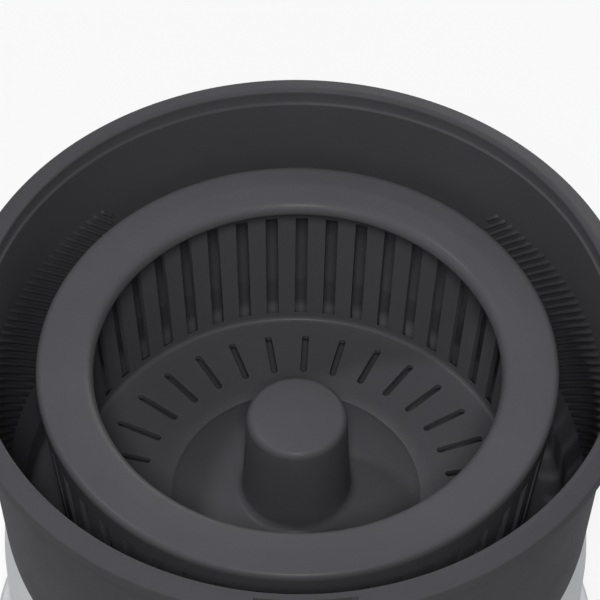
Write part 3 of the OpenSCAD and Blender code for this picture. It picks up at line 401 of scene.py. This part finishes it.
def lathe(name, loop, angles, push=None):
    """A closed profile turned round the Z axis. push(r, z, degrees) may move a point."""
    verts = []
    for degrees in angles:
        for r, z in loop:
            r, z = push(r, z, degrees) if push else (r, z)
            verts.append(turned(r, degrees, z))
    n, m = len(loop), len(angles)
    faces = [(j * n + k, j * n + (k + 1) % n, (j + 1) % m * n + (k + 1) % n, (j + 1) % m * n + k)
             for j in range(m) for k in range(n)]
    return finish_mesh(name, verts, faces)


def sector(name, loop, start, stop, steps=2):
    """A closed profile swept over part of a turn, with flat ends."""
    verts = []
    for k in range(steps + 1):
        degrees = start + (stop - start) * k / steps
        verts += [turned(r, degrees, z) for r, z in loop]
    n = len(loop)
    faces = [(j * n + k, j * n + (k + 1) % n, (j + 1) * n + (k + 1) % n, (j + 1) * n + k)
             for j in range(steps) for k in range(n)]
    faces += [tuple(range(n)), tuple(range(steps * n, steps * n + n))]
    return finish_mesh(name, verts, faces)


def windowed_shell(name, inside, outside, angle_rows, window):
    """A thin shell between two matching profiles.

    Row k has its own column angles, and window(j, k) leaves the cell at column j, row k open.
    """
    rows, columns = len(inside), len(angle_rows[0])
    verts = []
    for side in (inside, outside):
        for k, (r, z) in enumerate(side):
            verts += [turned(r, degrees, z) for degrees in angle_rows[k]]

    def at(side, k, j):
        return (side * rows + k) * columns + j % columns

    def shut(k, j):
        return 0 <= k < rows - 1 and not window(j % columns, k)

    faces = []
    for k in range(rows - 1):
        for j in range(columns):
            if not shut(k, j):
                continue
            for side in (0, 1):
                faces.append((at(side, k, j), at(side, k, j + 1),
                              at(side, k + 1, j + 1), at(side, k + 1, j)))
            edges = ((shut(k - 1, j), (k, j), (k, j + 1)),
                     (shut(k + 1, j), (k + 1, j), (k + 1, j + 1)),
                     (shut(k, j - 1), (k, j), (k + 1, j)),
                     (shut(k, j + 1), (k, j + 1), (k + 1, j + 1)))
            for closed, a, b in edges:
                if not closed:
                    faces.append((at(0, *a), at(0, *b), at(1, *b), at(1, *a)))
    return finish_mesh(name, verts, faces)


# ---- Bowl ----

BOWL_COLUMNS = 240
BOWL_EDGE = 0.25                       # bevel of its sharp edges
MOUTH_R = RIM_R - 7.2
LIP_H, LIP_EDGE_R, LIP_HAUNCH = 7, 0.8, 1              # flange round the rim
RIM_DROP = 1.3                         # how much lower the rim's outer edge lies than its bead
BEAD_R, BEAD_OUT = 1, 1.6              # bead at the mouth: its rounding, and where its top ends
RIM_SLOPE = ((3.2, 0.45), (2.6, 0.2), (2.1, 0.04))     # (out from the mouth, down) past the bead
MOUTH_STEP = ((0, 4.8), (0.2, 5.2))    # (in, down) under the mouth, before the wall starts
WALL_TOP_R, WALL_LOW_R, WALL_T = 104.2, 100.3, 2.4
WALL_DEPTHS = (5.6, 17, 30, 45, 60)    # rows of the inner wall, down from the rim
WALL_FOOT_H = 9                        # the inner wall's last row, above the seat
SHOULDER_R = 1.6
SUMP_R, SUMP_T, SUMP_FLOOR_T = 96.3, 2.6, 2.6
SUMP_CORNER_R, SUMP_INNER_CORNER_R = 3, 4
SUMP_NECK = ((0.2, 1), (0, 3))         # (out, down from the seat) where the foot meets the sump
CUP_R, CUP_H, CUP_T, CUP_EDGE = 16.5, 20.6, 2.2, 2
TUBE_R, TUBE_H, TUBE_BORE, TUBE_EDGE = 10.5, 20, 6.52, 1
RIB_COUNT = 64                         # in each of the two fields
RIB_PITCH = 1.9                        # degrees round the bowl
RIB_SLOPE = math.radians(39)           # away from upright, the upper end to the front
RIB_W, RIB_H = 1.4, 1.0
RIB_HALF = 49.5                        # half the width of a field, in degrees
RIB_LOW = SEAT_Z + 10
RIB_TOP = RIM_Z - 30
RIB_SHORTEST = 1.5
RIB_RUN_OUT = 0.15                     # height of a rib at its ends, as a share of RIB_H
RIB_SECTION = ((-0.62, -0.35), (-0.46, 0.55), (-0.22, 0.95),   # shares of RIB_W and RIB_H
               (0.22, 0.95), (0.46, 0.55), (0.62, -0.35))
RIB_SHARP = 60
LATCH_ANGLES = (-97.05, -79.45)
LATCH_W, LATCH_H, LATCH_EDGE = 1.6, 3, 0.3
LATCH_FOOT, LATCH_HEAD = (1.6, 0.5), (2, 0.6)          # (out from the mouth, in from the rim)
LATCH_SINK = 0.1                       # how far its inner top lies below the bead
POCKET_R, POCKET_H = MOUTH_R + 2.4, 6.5
POCKET_SIDE = 0.1                      # degrees, half the width of the pocket's side walls


def bowl_inner_r(z):
    """Radius of the bowl's inner wall, between its step under the rim and its foot."""
    low, high = SEAT_Z + WALL_FOOT_H, RIM_Z - WALL_DEPTHS[0]
    return WALL_LOW_R - WALL_T + (WALL_TOP_R - WALL_LOW_R) * (z - low) / (high - low)


def bowl_outside():
    """From the hollow under the cup, out and up to the bead at the mouth."""
    low, lip_low = bowl_low.z, RIM_Z - LIP_H
    corner = (SUMP_R - SUMP_CORNER_R, low + SUMP_CORNER_R)
    shoulder = (WALL_LOW_R - SHOULDER_R, SEAT_Z + SHOULDER_R)
    edge_r = RIM_R - LIP_EDGE_R
    line = [(CUP_R - CUP_T, low), (corner[0], low)] + arc(corner, SUMP_CORNER_R, -90, 0)
    line += [(SUMP_R, SEAT_Z)] + arc(shoulder, SHOULDER_R, -90, 0)
    line += [(WALL_TOP_R, lip_low - LIP_HAUNCH), (edge_r, lip_low), (RIM_R, lip_low + LIP_EDGE_R)]
    line += arc((edge_r, RIM_Z - RIM_DROP - LIP_EDGE_R), LIP_EDGE_R, 0, 70, 4)
    return line + [(MOUTH_R + out, RIM_Z - down) for out, down in RIM_SLOPE + ((BEAD_OUT, 0),)]


def bowl_inside():
    """From the bead at the mouth, down the wall, over the floor and up the tube at the middle."""
    floor = bowl_low.z + SUMP_FLOOR_T
    cup_top = bowl_low.z + CUP_H
    tube_top = cup_top + TUBE_H
    sump_r = SUMP_R - SUMP_T
    line = arc((MOUTH_R + BEAD_R, RIM_Z - BEAD_R), BEAD_R, 90, 180)
    line += [(MOUTH_R - inward, RIM_Z - down) for inward, down in MOUTH_STEP]
    wall_z = [RIM_Z - depth for depth in WALL_DEPTHS] + [SEAT_Z + WALL_FOOT_H]
    line += [(bowl_inner_r(z), z) for z in wall_z]
    line += [(sump_r + out, SEAT_Z - down) for out, down in SUMP_NECK]
    corner = (sump_r - SUMP_INNER_CORNER_R, floor + SUMP_INNER_CORNER_R)
    line += arc(corner, SUMP_INNER_CORNER_R, 0, -90)
    line += [(CUP_R + CUP_EDGE, floor), (CUP_R, floor + CUP_EDGE), (CUP_R, cup_top - CUP_EDGE)]
    line += arc((CUP_R - CUP_EDGE, cup_top - CUP_EDGE), CUP_EDGE, 0, 90)
    line += [(TUBE_R, cup_top), (TUBE_R, tube_top - TUBE_EDGE), (TUBE_R - TUBE_EDGE, tube_top)]
    line += [(TUBE_BORE, tube_top), (TUBE_BORE, cup_top - CUP_T)]
    return line + [(CUP_R - CUP_T, cup_top - CUP_T)]


def rib_path(middle, steps=10):
    """Points (degrees, z) up one slanting rib, cut to its field.

    It crosses half the field's height at the angle middle. A rib that would be a stub is left out.
    """
    half_z = (RIB_LOW + RIB_TOP) / 2
    turn = math.degrees(math.tan(RIB_SLOPE) / bowl_inner_r(half_z))
    reach = sorted((half_z + (middle - side * RIB_HALF) / turn) for side in (-1, 1))
    low, high = max(RIB_LOW, reach[0]), min(RIB_TOP, reach[1])
    if high - low < RIB_SHORTEST:
        return []
    heights = [low + (high - low) * k / steps for k in range(steps + 1)]
    return [(middle - (z - half_z) * turn, z) for z in heights]


def rib_mesh():
    """Both fields of ribs. Each is a rounded strip let into the wall, with its ends run out."""
    verts, faces = [], []
    n = len(RIB_SECTION)
    for mirror in (1, -1):
        for i in range(RIB_COUNT):
            path = rib_path((i - (RIB_COUNT - 1) / 2) * RIB_PITCH)
            start = len(verts)
            for k, (degrees, z) in enumerate(path):
                end = RIB_RUN_OUT if k in (0, len(path) - 1) else 1
                for u, v in RIB_SECTION:
                    slant = RIB_W * u
                    turn = math.radians(degrees) + slant * math.cos(RIB_SLOPE) / bowl_inner_r(z)
                    up = z + slant * math.sin(RIB_SLOPE)
                    r = bowl_inner_r(up) - RIB_H * (v * end if v > 0 else v)
                    verts.append((mirror * r * math.cos(turn), r * math.sin(turn), up))
            for k in range(len(path) - 1):
                row, above = start + k * n, start + (k + 1) * n
                faces += [(row + a, row + a + 1, above + a + 1, above + a) for a in range(n - 1)]
    return finish_mesh("scrubbing_ribs", verts, faces)


def latch_pocket(r, z, degrees):
    """Takes the rim's outer part back to its bead between the two latch ribs."""
    between = LATCH_ANGLES[0] < (degrees + 180) % 360 - 180 < LATCH_ANGLES[1]
    return min(r, POCKET_R) if between and z > RIM_Z - POCKET_H else r, z


def make_bowl():
    pocket_sides = [(a + d) % 360 for a in LATCH_ANGLES for d in (-POCKET_SIDE, POCKET_SIDE)]
    angles = sorted(even_angles(BOWL_COLUMNS) + pocket_sides)
    mesh = lathe("peeling_bowl", bowl_outside() + bowl_inside(), angles, latch_pocket)
    add_piece("peeling_bowl", mesh, "bowl", "bowl_charcoal", ["bowl"], bevel=BOWL_EDGE)
    add_piece("scrubbing_ribs", rib_mesh(), "bowl", "bowl_charcoal", sharp=RIB_SHARP)
    make_latch_ribs()


def make_latch_ribs():
    """The two short ribs that end the pocket in the rim, one at each side."""
    half = math.degrees(LATCH_W / 2 / RIM_R)
    low = RIM_Z - LATCH_H
    loop = [(MOUTH_R + LATCH_FOOT[0], low), (RIM_R - LATCH_FOOT[1], low),
            (RIM_R - LATCH_HEAD[1], RIM_Z - RIM_DROP),
            (MOUTH_R + LATCH_HEAD[0], RIM_Z - LATCH_SINK)]
    for number, degrees in enumerate(LATCH_ANGLES):
        name = "latch_rib_%d" % number
        mesh = sector(name, loop, degrees - half, degrees + half)
        add_piece(name, mesh, "bowl", "bowl_charcoal", bevel=LATCH_EDGE)


# ---- Basket ----

BASKET_R = basket_high.x
BASKET_EDGE = 0.3                      # bevel of its sharp edges
BASKET_MOUTH_R = 66.5
BASKET_T = 2.2
BASKET_H, HUB_H = 73.5, 43.5           # above the floor
CROWN_R, CROWN_H = 75.8, 0.4           # where the rolled rim is highest, above BASKET_TOP
BASKET_TOP = basket_high.z - CROWN_H
BASKET_FLOOR = BASKET_TOP - BASKET_H
HUB_TOP = BASKET_FLOOR + HUB_H
HUB_R, HUB_EDGE_R = 17, 3
HUB_CROWN = ((0, 0.6), (8.5, 0.35))    # (r, above the hub's top)
HUB_CEILING = ((0, -2.4), (8.5, -2.4))
HUB_CEILING_EDGE = ((13.6, -2.4), (14.6, -2.7), (14.8, -3.4))
HUB_FOOT_R, HUB_FILLET = 18.4, 3
DOME_R, DOME_H, DOME_POWER, DOME_STEPS = 42.4, 3.2, 2.2, 12    # low dome under the hub
GROOVE_W, GROOVE_DEPTH = 1, 0.3        # fine line round the dome
FLOOR_R, CORNER_R, UNDER_CORNER_R = 77, 1.8, 2.5
FLOOR_SLOT_R, FLOOR_SLOT_L = 52.4, 17
FLOOR_SLOT_END = 0.9                   # length over which a floor slot narrows
FLOOR_SLOT_NARROW = 0.45               # its width at the ends, as a share
SILL_H, SLOT_H = 3.5, 47
SILL_FALL = 2.6                        # how far a slot's lower end slopes down outwards
SILL_ROW = 4                           # height of the row of cells above the sill
SLOT_OUTSIDE = 12.5                    # how much further up slots run outside, past the sleeve
SLOT_LOW = BASKET_FLOOR + SILL_H
SLOT_TOP = SLOT_LOW + SLOT_H
WALL_START_H, SKIN_START_H = 3, 2      # where the inner and the outer wall's slope starts
HEAD_DEPTH, RIM_BEND = 6, 2            # down from the top to where the rolled head starts
HEAD_STEP = 0.6                        # how much thicker the wall is under the head
HEAD_R = BASKET_R - HEAD_STEP - BASKET_T
HEAD_TURN = ((0.4, 4), (2, 2.6))       # (in from HEAD_R, down from the top)
HEAD_MID = (76, -1.9)                  # (r, above the top) under the rolled rim
ROLL_UNDER = ((70, -2.3), (68.8, -3.2), (68.1, -4.6))
ROLL_R, ROLL_DEPTH = 4, 4.6            # rounding of the mouth
ROLL_EDGE_R, ROLL_EDGE_DEPTH = 0.7, 4.5
SLEEVE_TOP = BASKET_TOP - 5
SLEEVE_OUT, SLEEVE_IN = 1.1, 0.12      # its faces, from the line of the inner wall
SLEEVE_CHAMFER = (0.1, 0.3)            # (out, up) at its lower edge
SLEEVE_COLUMNS = 192
SLOT_SETS = {                          # count, width, phase in degrees, radius it is measured at
    "wall_slot": (48, 4.2, 0.65, 81),
    "floor_slot": (32, 2.3, 2.3, 60),
}
COLUMN_STEP = 1.6                      # degrees, widest column of cells


def basket_inner_r(z):
    """Radius of the line of the basket's inner wall."""
    low, high = BASKET_FLOOR + WALL_START_H, BASKET_TOP - HEAD_DEPTH
    return FLOOR_R + (HEAD_R - FLOOR_R) * (z - low) / (high - low)


def basket_outer_r(z):
    """Radius of the basket's outer wall."""
    low_r, low, high = FLOOR_R + BASKET_T, BASKET_FLOOR + SKIN_START_H, BASKET_TOP - RIM_BEND
    return low_r + (BASKET_R - low_r) * (z - low) / (high - low)


def lifted(points, z):
    return [(r, z + up) for r, up in points]


def hub_sections():
    """From the hub's top down to its foot on the dome."""
    edge = arc((HUB_R - HUB_EDGE_R, HUB_TOP - HUB_EDGE_R), HUB_EDGE_R, 85, 0, 8)
    ceiling_edge = lifted(HUB_CEILING_EDGE, HUB_TOP)
    foot_z = BASKET_FLOOR + DOME_H + HUB_FILLET
    fillet = (HUB_FOOT_R + HUB_FILLET, foot_z)
    return [
        (lifted(HUB_CROWN, HUB_TOP), lifted(HUB_CEILING, HUB_TOP), 5, ""),
        (edge, ceiling_edge, 9, ""),
        ([(HUB_R, HUB_TOP - HUB_EDGE_R), (HUB_FOOT_R, foot_z)],
         [ceiling_edge[-1], (HUB_FOOT_R - BASKET_T, foot_z)], 6, ""),
        (arc(fillet, HUB_FILLET, 180, 270, 7),
         arc(fillet, HUB_FILLET + BASKET_T, 180, 270, 7), 8, ""),
    ]


def floor_sections():
    """From the hub's foot over the dome, the groove and the floor slots to the corner."""
    floor, under = BASKET_FLOOR, BASKET_FLOOR - BASKET_T
    start = HUB_FOOT_R + HUB_FILLET
    dome = [(start + (DOME_R - start) * k / DOME_STEPS,
             DOME_H * (1 - (k / DOME_STEPS) ** DOME_POWER)) for k in range(DOME_STEPS + 1)]
    groove_end = DOME_R + GROOVE_W
    groove = [(DOME_R, floor), (DOME_R + GROOVE_W / 2, floor - GROOVE_DEPTH), (groove_end, floor)]
    slot_end = FLOOR_SLOT_R + FLOOR_SLOT_L
    corner_r, under_corner_r = FLOOR_R - CORNER_R, FLOOR_R + BASKET_T - UNDER_CORNER_R
    low_end, high_end = FLOOR_SLOT_R + FLOOR_SLOT_END, slot_end - FLOOR_SLOT_END

    def flat(a, b, count, mark=""):
        return [(a, floor), (b, floor)], [(a, under), (b, under)], count, mark

    return [
        (lifted(dome, floor), lifted(dome, under), DOME_STEPS + 1, ""),
        (groove, [(DOME_R, under), (groove_end, under)], 3, ""),
        flat(groove_end, FLOOR_SLOT_R, 3),
        flat(FLOOR_SLOT_R, low_end, 2, "floor_slot"),
        flat(low_end, high_end, 5, "floor_slot"),
        flat(high_end, slot_end, 2, "floor_slot"),
        ([(slot_end, floor), (corner_r, floor)],
         [(slot_end, under), (under_corner_r, under)], 2, ""),
        (arc((corner_r, floor + CORNER_R), CORNER_R, -90, 0),
         arc((under_corner_r, under + UNDER_CORNER_R), UNDER_CORNER_R, -90, 0), 7, ""),
    ]


def wall_sections():
    """From the corner, up the slotted wall to the rolled head."""
    under = BASKET_FLOOR - BASKET_T
    shade_top = SLOT_TOP + SLOT_OUTSIDE
    sill = SLOT_LOW - SILL_FALL

    def wall(low, high, count, mark, fall=0.0):
        under_low = low - fall
        return ([(basket_inner_r(low), low), (basket_inner_r(high), high)],
                [(basket_outer_r(under_low), under_low), (basket_outer_r(high), high)],
                count, mark)

    return [
        ([(FLOOR_R, BASKET_FLOOR + CORNER_R), (basket_inner_r(SLOT_LOW), SLOT_LOW)],
         [(FLOOR_R + BASKET_T, under + UNDER_CORNER_R), (basket_outer_r(sill), sill)], 2, ""),
        wall(SLOT_LOW, SLOT_LOW + SILL_ROW, 2, "wall_slot", SILL_FALL),
        wall(SLOT_LOW + SILL_ROW, SLOT_TOP, 8, "wall_slot"),
        wall(SLOT_TOP, shade_top, 4, "wall_slot"),
        wall(shade_top, BASKET_TOP - HEAD_DEPTH, 4, ""),
    ]


def head_sections():
    """The rolled rim, from the top of the wall to the mouth."""
    top = BASKET_TOP
    head_z = top - HEAD_DEPTH
    crown = (CROWN_R, top + CROWN_H)
    turn = [(HEAD_R, head_z)] + [(HEAD_R - inward, top - down) for inward, down in HEAD_TURN]
    bend = arc((BASKET_R - RIM_BEND, top - RIM_BEND), RIM_BEND, 0, 85, 8)
    edge = arc((BASKET_MOUTH_R + ROLL_EDGE_R, top - ROLL_EDGE_DEPTH), ROLL_EDGE_R, -20, -150, 4)
    roll = arc((BASKET_MOUTH_R + ROLL_R, top - ROLL_DEPTH), ROLL_R, 100, 178, 8)
    return [
        (turn + lifted((HEAD_MID,), top),
         [(basket_outer_r(head_z), head_z)] + bend + [crown], 14, ""),
        (lifted((HEAD_MID,) + ROLL_UNDER, top) + edge, [crown] + roll, 14, ""),
    ]


def basket_rows():
    """Inside and outside points from the hub's top to the mouth, and a mark for each row of cells.

    A section is an inside line, an outside line, a count of points and a mark.
    """
    inside, outside, marks = [], [], []
    for line_in, line_out, count, mark in (hub_sections() + floor_sections() + wall_sections()
                                           + head_sections()):
        skip = 1 if inside else 0
        inside += resample(line_in, count)[skip:]
        outside += resample(line_out, count)[skip:]
        marks += [mark] * (count - 1)
    return inside, outside, marks


def slot_columns():
    """Angles of all columns, each with the slot edge it follows: (mark, centre, side) or None."""
    edges = []
    for mark, (count, width, phase, radius) in SLOT_SETS.items():
        half = math.degrees(width / 2 / radius)
        sides = (-1, 0, 1) if mark == "floor_slot" else (-1, 1)
        for i in range(count):
            centre = 90 - phase + i * 360 / count
            edges += [(centre + side * half, (mark, centre, side)) for side in sides]
    edges = sorted((angle % 360, mark) for angle, mark in edges)
    out = []
    for (a, mark), (b, _) in zip(edges, edges[1:] + [(edges[0][0] + 360, None)]):
        out.append((a, mark))
        extra = int((b - a) / COLUMN_STEP)
        out += [(a + (b - a) * (k + 1) / (extra + 1), None) for k in range(extra)]
    return out


def in_slot(angle, mark):
    """Whether an angle falls inside one of the slots of a set."""
    count, width, phase, radius = SLOT_SETS[mark]
    pitch = 360 / count
    off = (angle - 90 + phase + pitch / 2) % pitch - pitch / 2
    return abs(off) < math.degrees(width / 2 / radius)


def fill_between(shift, columns):
    """Columns that follow no slot edge in a row move with their nearest ones, so none cross."""
    count = len(shift)
    known = [j for j in range(count) if shift[j] is not None]
    if not known:
        return [0] * count
    out = list(shift)
    for a, b in zip(known, known[1:] + [known[0] + count]):
        span = (columns[b % count][0] - columns[a][0]) % 360
        for j in range(a + 1, b):
            part = (columns[j % count][0] - columns[a][0]) % 360 / span
            out[j % count] = shift[a] + (shift[b % count] - shift[a]) * part
    return out


def row_angles(columns, radius, here, narrow):
    """Angles of one row's columns, moved so that slots of the marks in here stay evenly wide."""
    shift = []
    for angle, mark in columns:
        if mark and mark[0] in here:
            width = SLOT_SETS[mark[0]][1] / 2 * (narrow if mark[0] == "floor_slot" else 1)
            aim = mark[1] + mark[2] * math.degrees(math.asin(width / radius))
            shift.append((aim - angle + 180) % 360 - 180)
        else:
            shift.append(None if here else 0)
    return [angle + move for (angle, _), move in zip(columns, fill_between(shift, columns))]


def make_basket():
    inside, outside, marks = basket_rows()
    columns = slot_columns()
    slot_rows = [k for k, mark in enumerate(marks) if mark == "floor_slot"]
    end_rows = (slot_rows[0], slot_rows[-1] + 1)
    angle_rows = []
    for k, (r, _) in enumerate(inside):
        here = {marks[min(k, len(marks) - 1)], marks[max(k - 1, 0)]} - {""}
        narrow = FLOOR_SLOT_NARROW if k in end_rows else 1
        angle_rows.append(row_angles(columns, r, here, narrow))
    starts = [angle for angle, _ in columns]
    middles = [(a + b) / 2 for a, b in zip(starts, starts[1:] + [starts[0] + 360])]
    open_columns = {mark: [in_slot(a, mark) for a in middles] for mark in SLOT_SETS}

    def window(j, k):
        return marks[k] in open_columns and open_columns[marks[k]][j]

    mesh = windowed_shell("spin_basket", inside, outside, angle_rows, window)
    add_piece("spin_basket", mesh, "basket", "basket_charcoal", ["basket"], bevel=BASKET_EDGE)
    make_sleeve()


def make_sleeve():
    """The band inside the basket's head that closes the slots' upper ends."""
    low_r, high_r = basket_inner_r(SLOT_TOP), basket_inner_r(SLEEVE_TOP)
    out, up = SLEEVE_CHAMFER
    loop = [(low_r + SLEEVE_OUT, SLOT_TOP), (low_r + out, SLOT_TOP),
            (low_r - SLEEVE_IN, SLOT_TOP + up), (high_r - SLEEVE_IN, SLEEVE_TOP),
            (high_r + SLEEVE_OUT, SLEEVE_TOP)]
    mesh = lathe("basket_sleeve", loop, even_angles(SLEEVE_COLUMNS))
    add_piece("basket_sleeve", mesh, "basket", "basket_charcoal")


# ---- Stage ----

FLOOR_SIZE = 12                        # metres
FLOOR_PALE = (0.95, 0.95, 0.95)        # as the camera sees it
FLOOR_GREY = (0.36, 0.36, 0.36)        # for the light that it throws back
CLOUD_SCALE = 3
FLOOR_ROUGHNESS = 0.7
FLOOR_SEEN, FLOOR_MIRRORED = 0.75, 0.3                 # shares of white laid over the floor
SKY_COLOUR, SKY_STRENGTH = (0.97, 0.98, 1.0, 1), 0.12
LAMPS = (                              # name, direction, distance, size, watts
    ("front", (0, -0.6, 0.8), 1.7, 0.3, 16.8),
    ("low_front", (-0.12, -0.83, 0.545), 1.7, 0.7, 2.0),
    ("side", (-0.58, -0.58, 0.57), 1.6, 0.7, 1.0),
    ("back", (0.4, 0.9, 0.25), 1.6, 1.0, 10.0),
    ("key", (-0.51, 0.155, 0.85), 1.5, 0.16, 5.0),
)


def math_node(tree, operation, a, b):
    """A maths node over a socket and a number or second socket."""
    made = tree.nodes.new("ShaderNodeMath")
    made.operation = operation
    tree.links.new(a, made.inputs[0])
    if isinstance(b, float):
        made.inputs[1].default_value = b
    else:
        tree.links.new(b, made.inputs[1])
    return made.outputs["Value"]


def white_backdrop(tree, shader, output, seen, mirrored):
    """Lays plain white over a shader, for what the camera and mirroring see, so it lights nothing.

    seen and mirrored are the shares of white for camera rays and for glossy and clear ones.
    """
    rays = tree.nodes.new("ShaderNodeLightPath").outputs
    other = math_node(tree, "MAXIMUM", rays["Is Glossy Ray"], rays["Is Transmission Ray"])
    share = math_node(tree, "MAXIMUM", math_node(tree, "MULTIPLY", rays["Is Camera Ray"], seen),
                      math_node(tree, "MULTIPLY", other, mirrored))
    white = tree.nodes.new("ShaderNodeEmission")
    mix = tree.nodes.new("ShaderNodeMixShader")
    tree.links.new(share, mix.inputs["Fac"])
    tree.links.new(shader, mix.inputs[1])
    tree.links.new(white.outputs["Emission"], mix.inputs[2])
    tree.links.new(mix.outputs["Shader"], output)


def make_floor():
    bpy.ops.mesh.primitive_plane_add(size=FLOOR_SIZE)
    floor = bpy.context.object
    floor.name = "floor"
    s = Shader("floor")
    cloud = s.noise(CLOUD_SCALE, 2)
    seen = s.node("ShaderNodeMix", data_type="RGBA")
    s.link(s.node("ShaderNodeLightPath").outputs["Is Camera Ray"], seen.inputs["Factor"])
    grey = s.ramp(cloud, ((0.3, shade(FLOOR_GREY, 0.95)), (0.7, shade(FLOOR_GREY, 1.05))))
    pale = s.ramp(cloud, ((0.3, shade(FLOOR_PALE, 0.98)), (0.7, FLOOR_PALE)))
    s.link(grey, seen.inputs["A"])
    s.link(pale, seen.inputs["B"])
    s.colour(seen.outputs["Result"])
    s.set(Roughness=FLOOR_ROUGHNESS)
    output = s.tree.nodes["Material Output"].inputs["Surface"]
    white_backdrop(s.tree, s.main.outputs["BSDF"], output, FLOOR_SEEN, FLOOR_MIRRORED)
    floor.data.materials.append(s.material)


def make_world():
    world = bpy.data.worlds.new("world")
    scene.world = world
    world.use_nodes = True
    tree = world.node_tree
    sky = tree.nodes["Background"]
    sky.inputs["Color"].default_value = SKY_COLOUR
    sky.inputs["Strength"].default_value = SKY_STRENGTH
    output = tree.nodes["World Output"].inputs["Surface"]
    white_backdrop(tree, sky.outputs["Background"], output, 1.0, 1.0)


def area_light(name, direction, distance, size, watts):
    """A round lamp aimed at the middle of the bowl's rim, seen from it along the direction."""
    toward = Vector(direction).normalized()
    data = bpy.data.lights.new(name, "AREA")
    data.shape = "DISK"
    data.size = size
    data.energy = watts
    lamp = bpy.data.objects.new(name, data)
    scene.collection.objects.link(lamp)
    lamp.location = Vector((0, 0, RIM_Z * MM)) + toward * distance
    lamp.rotation_euler = (-toward).to_track_quat("-Z", "Y").to_euler()


make_camera()
scene.view_settings.view_transform = "Standard"
dress_cad_nodes()
make_bowl()
make_basket()
make_floor()
make_world()
for lamp in LAMPS:
    area_light(*lamp)
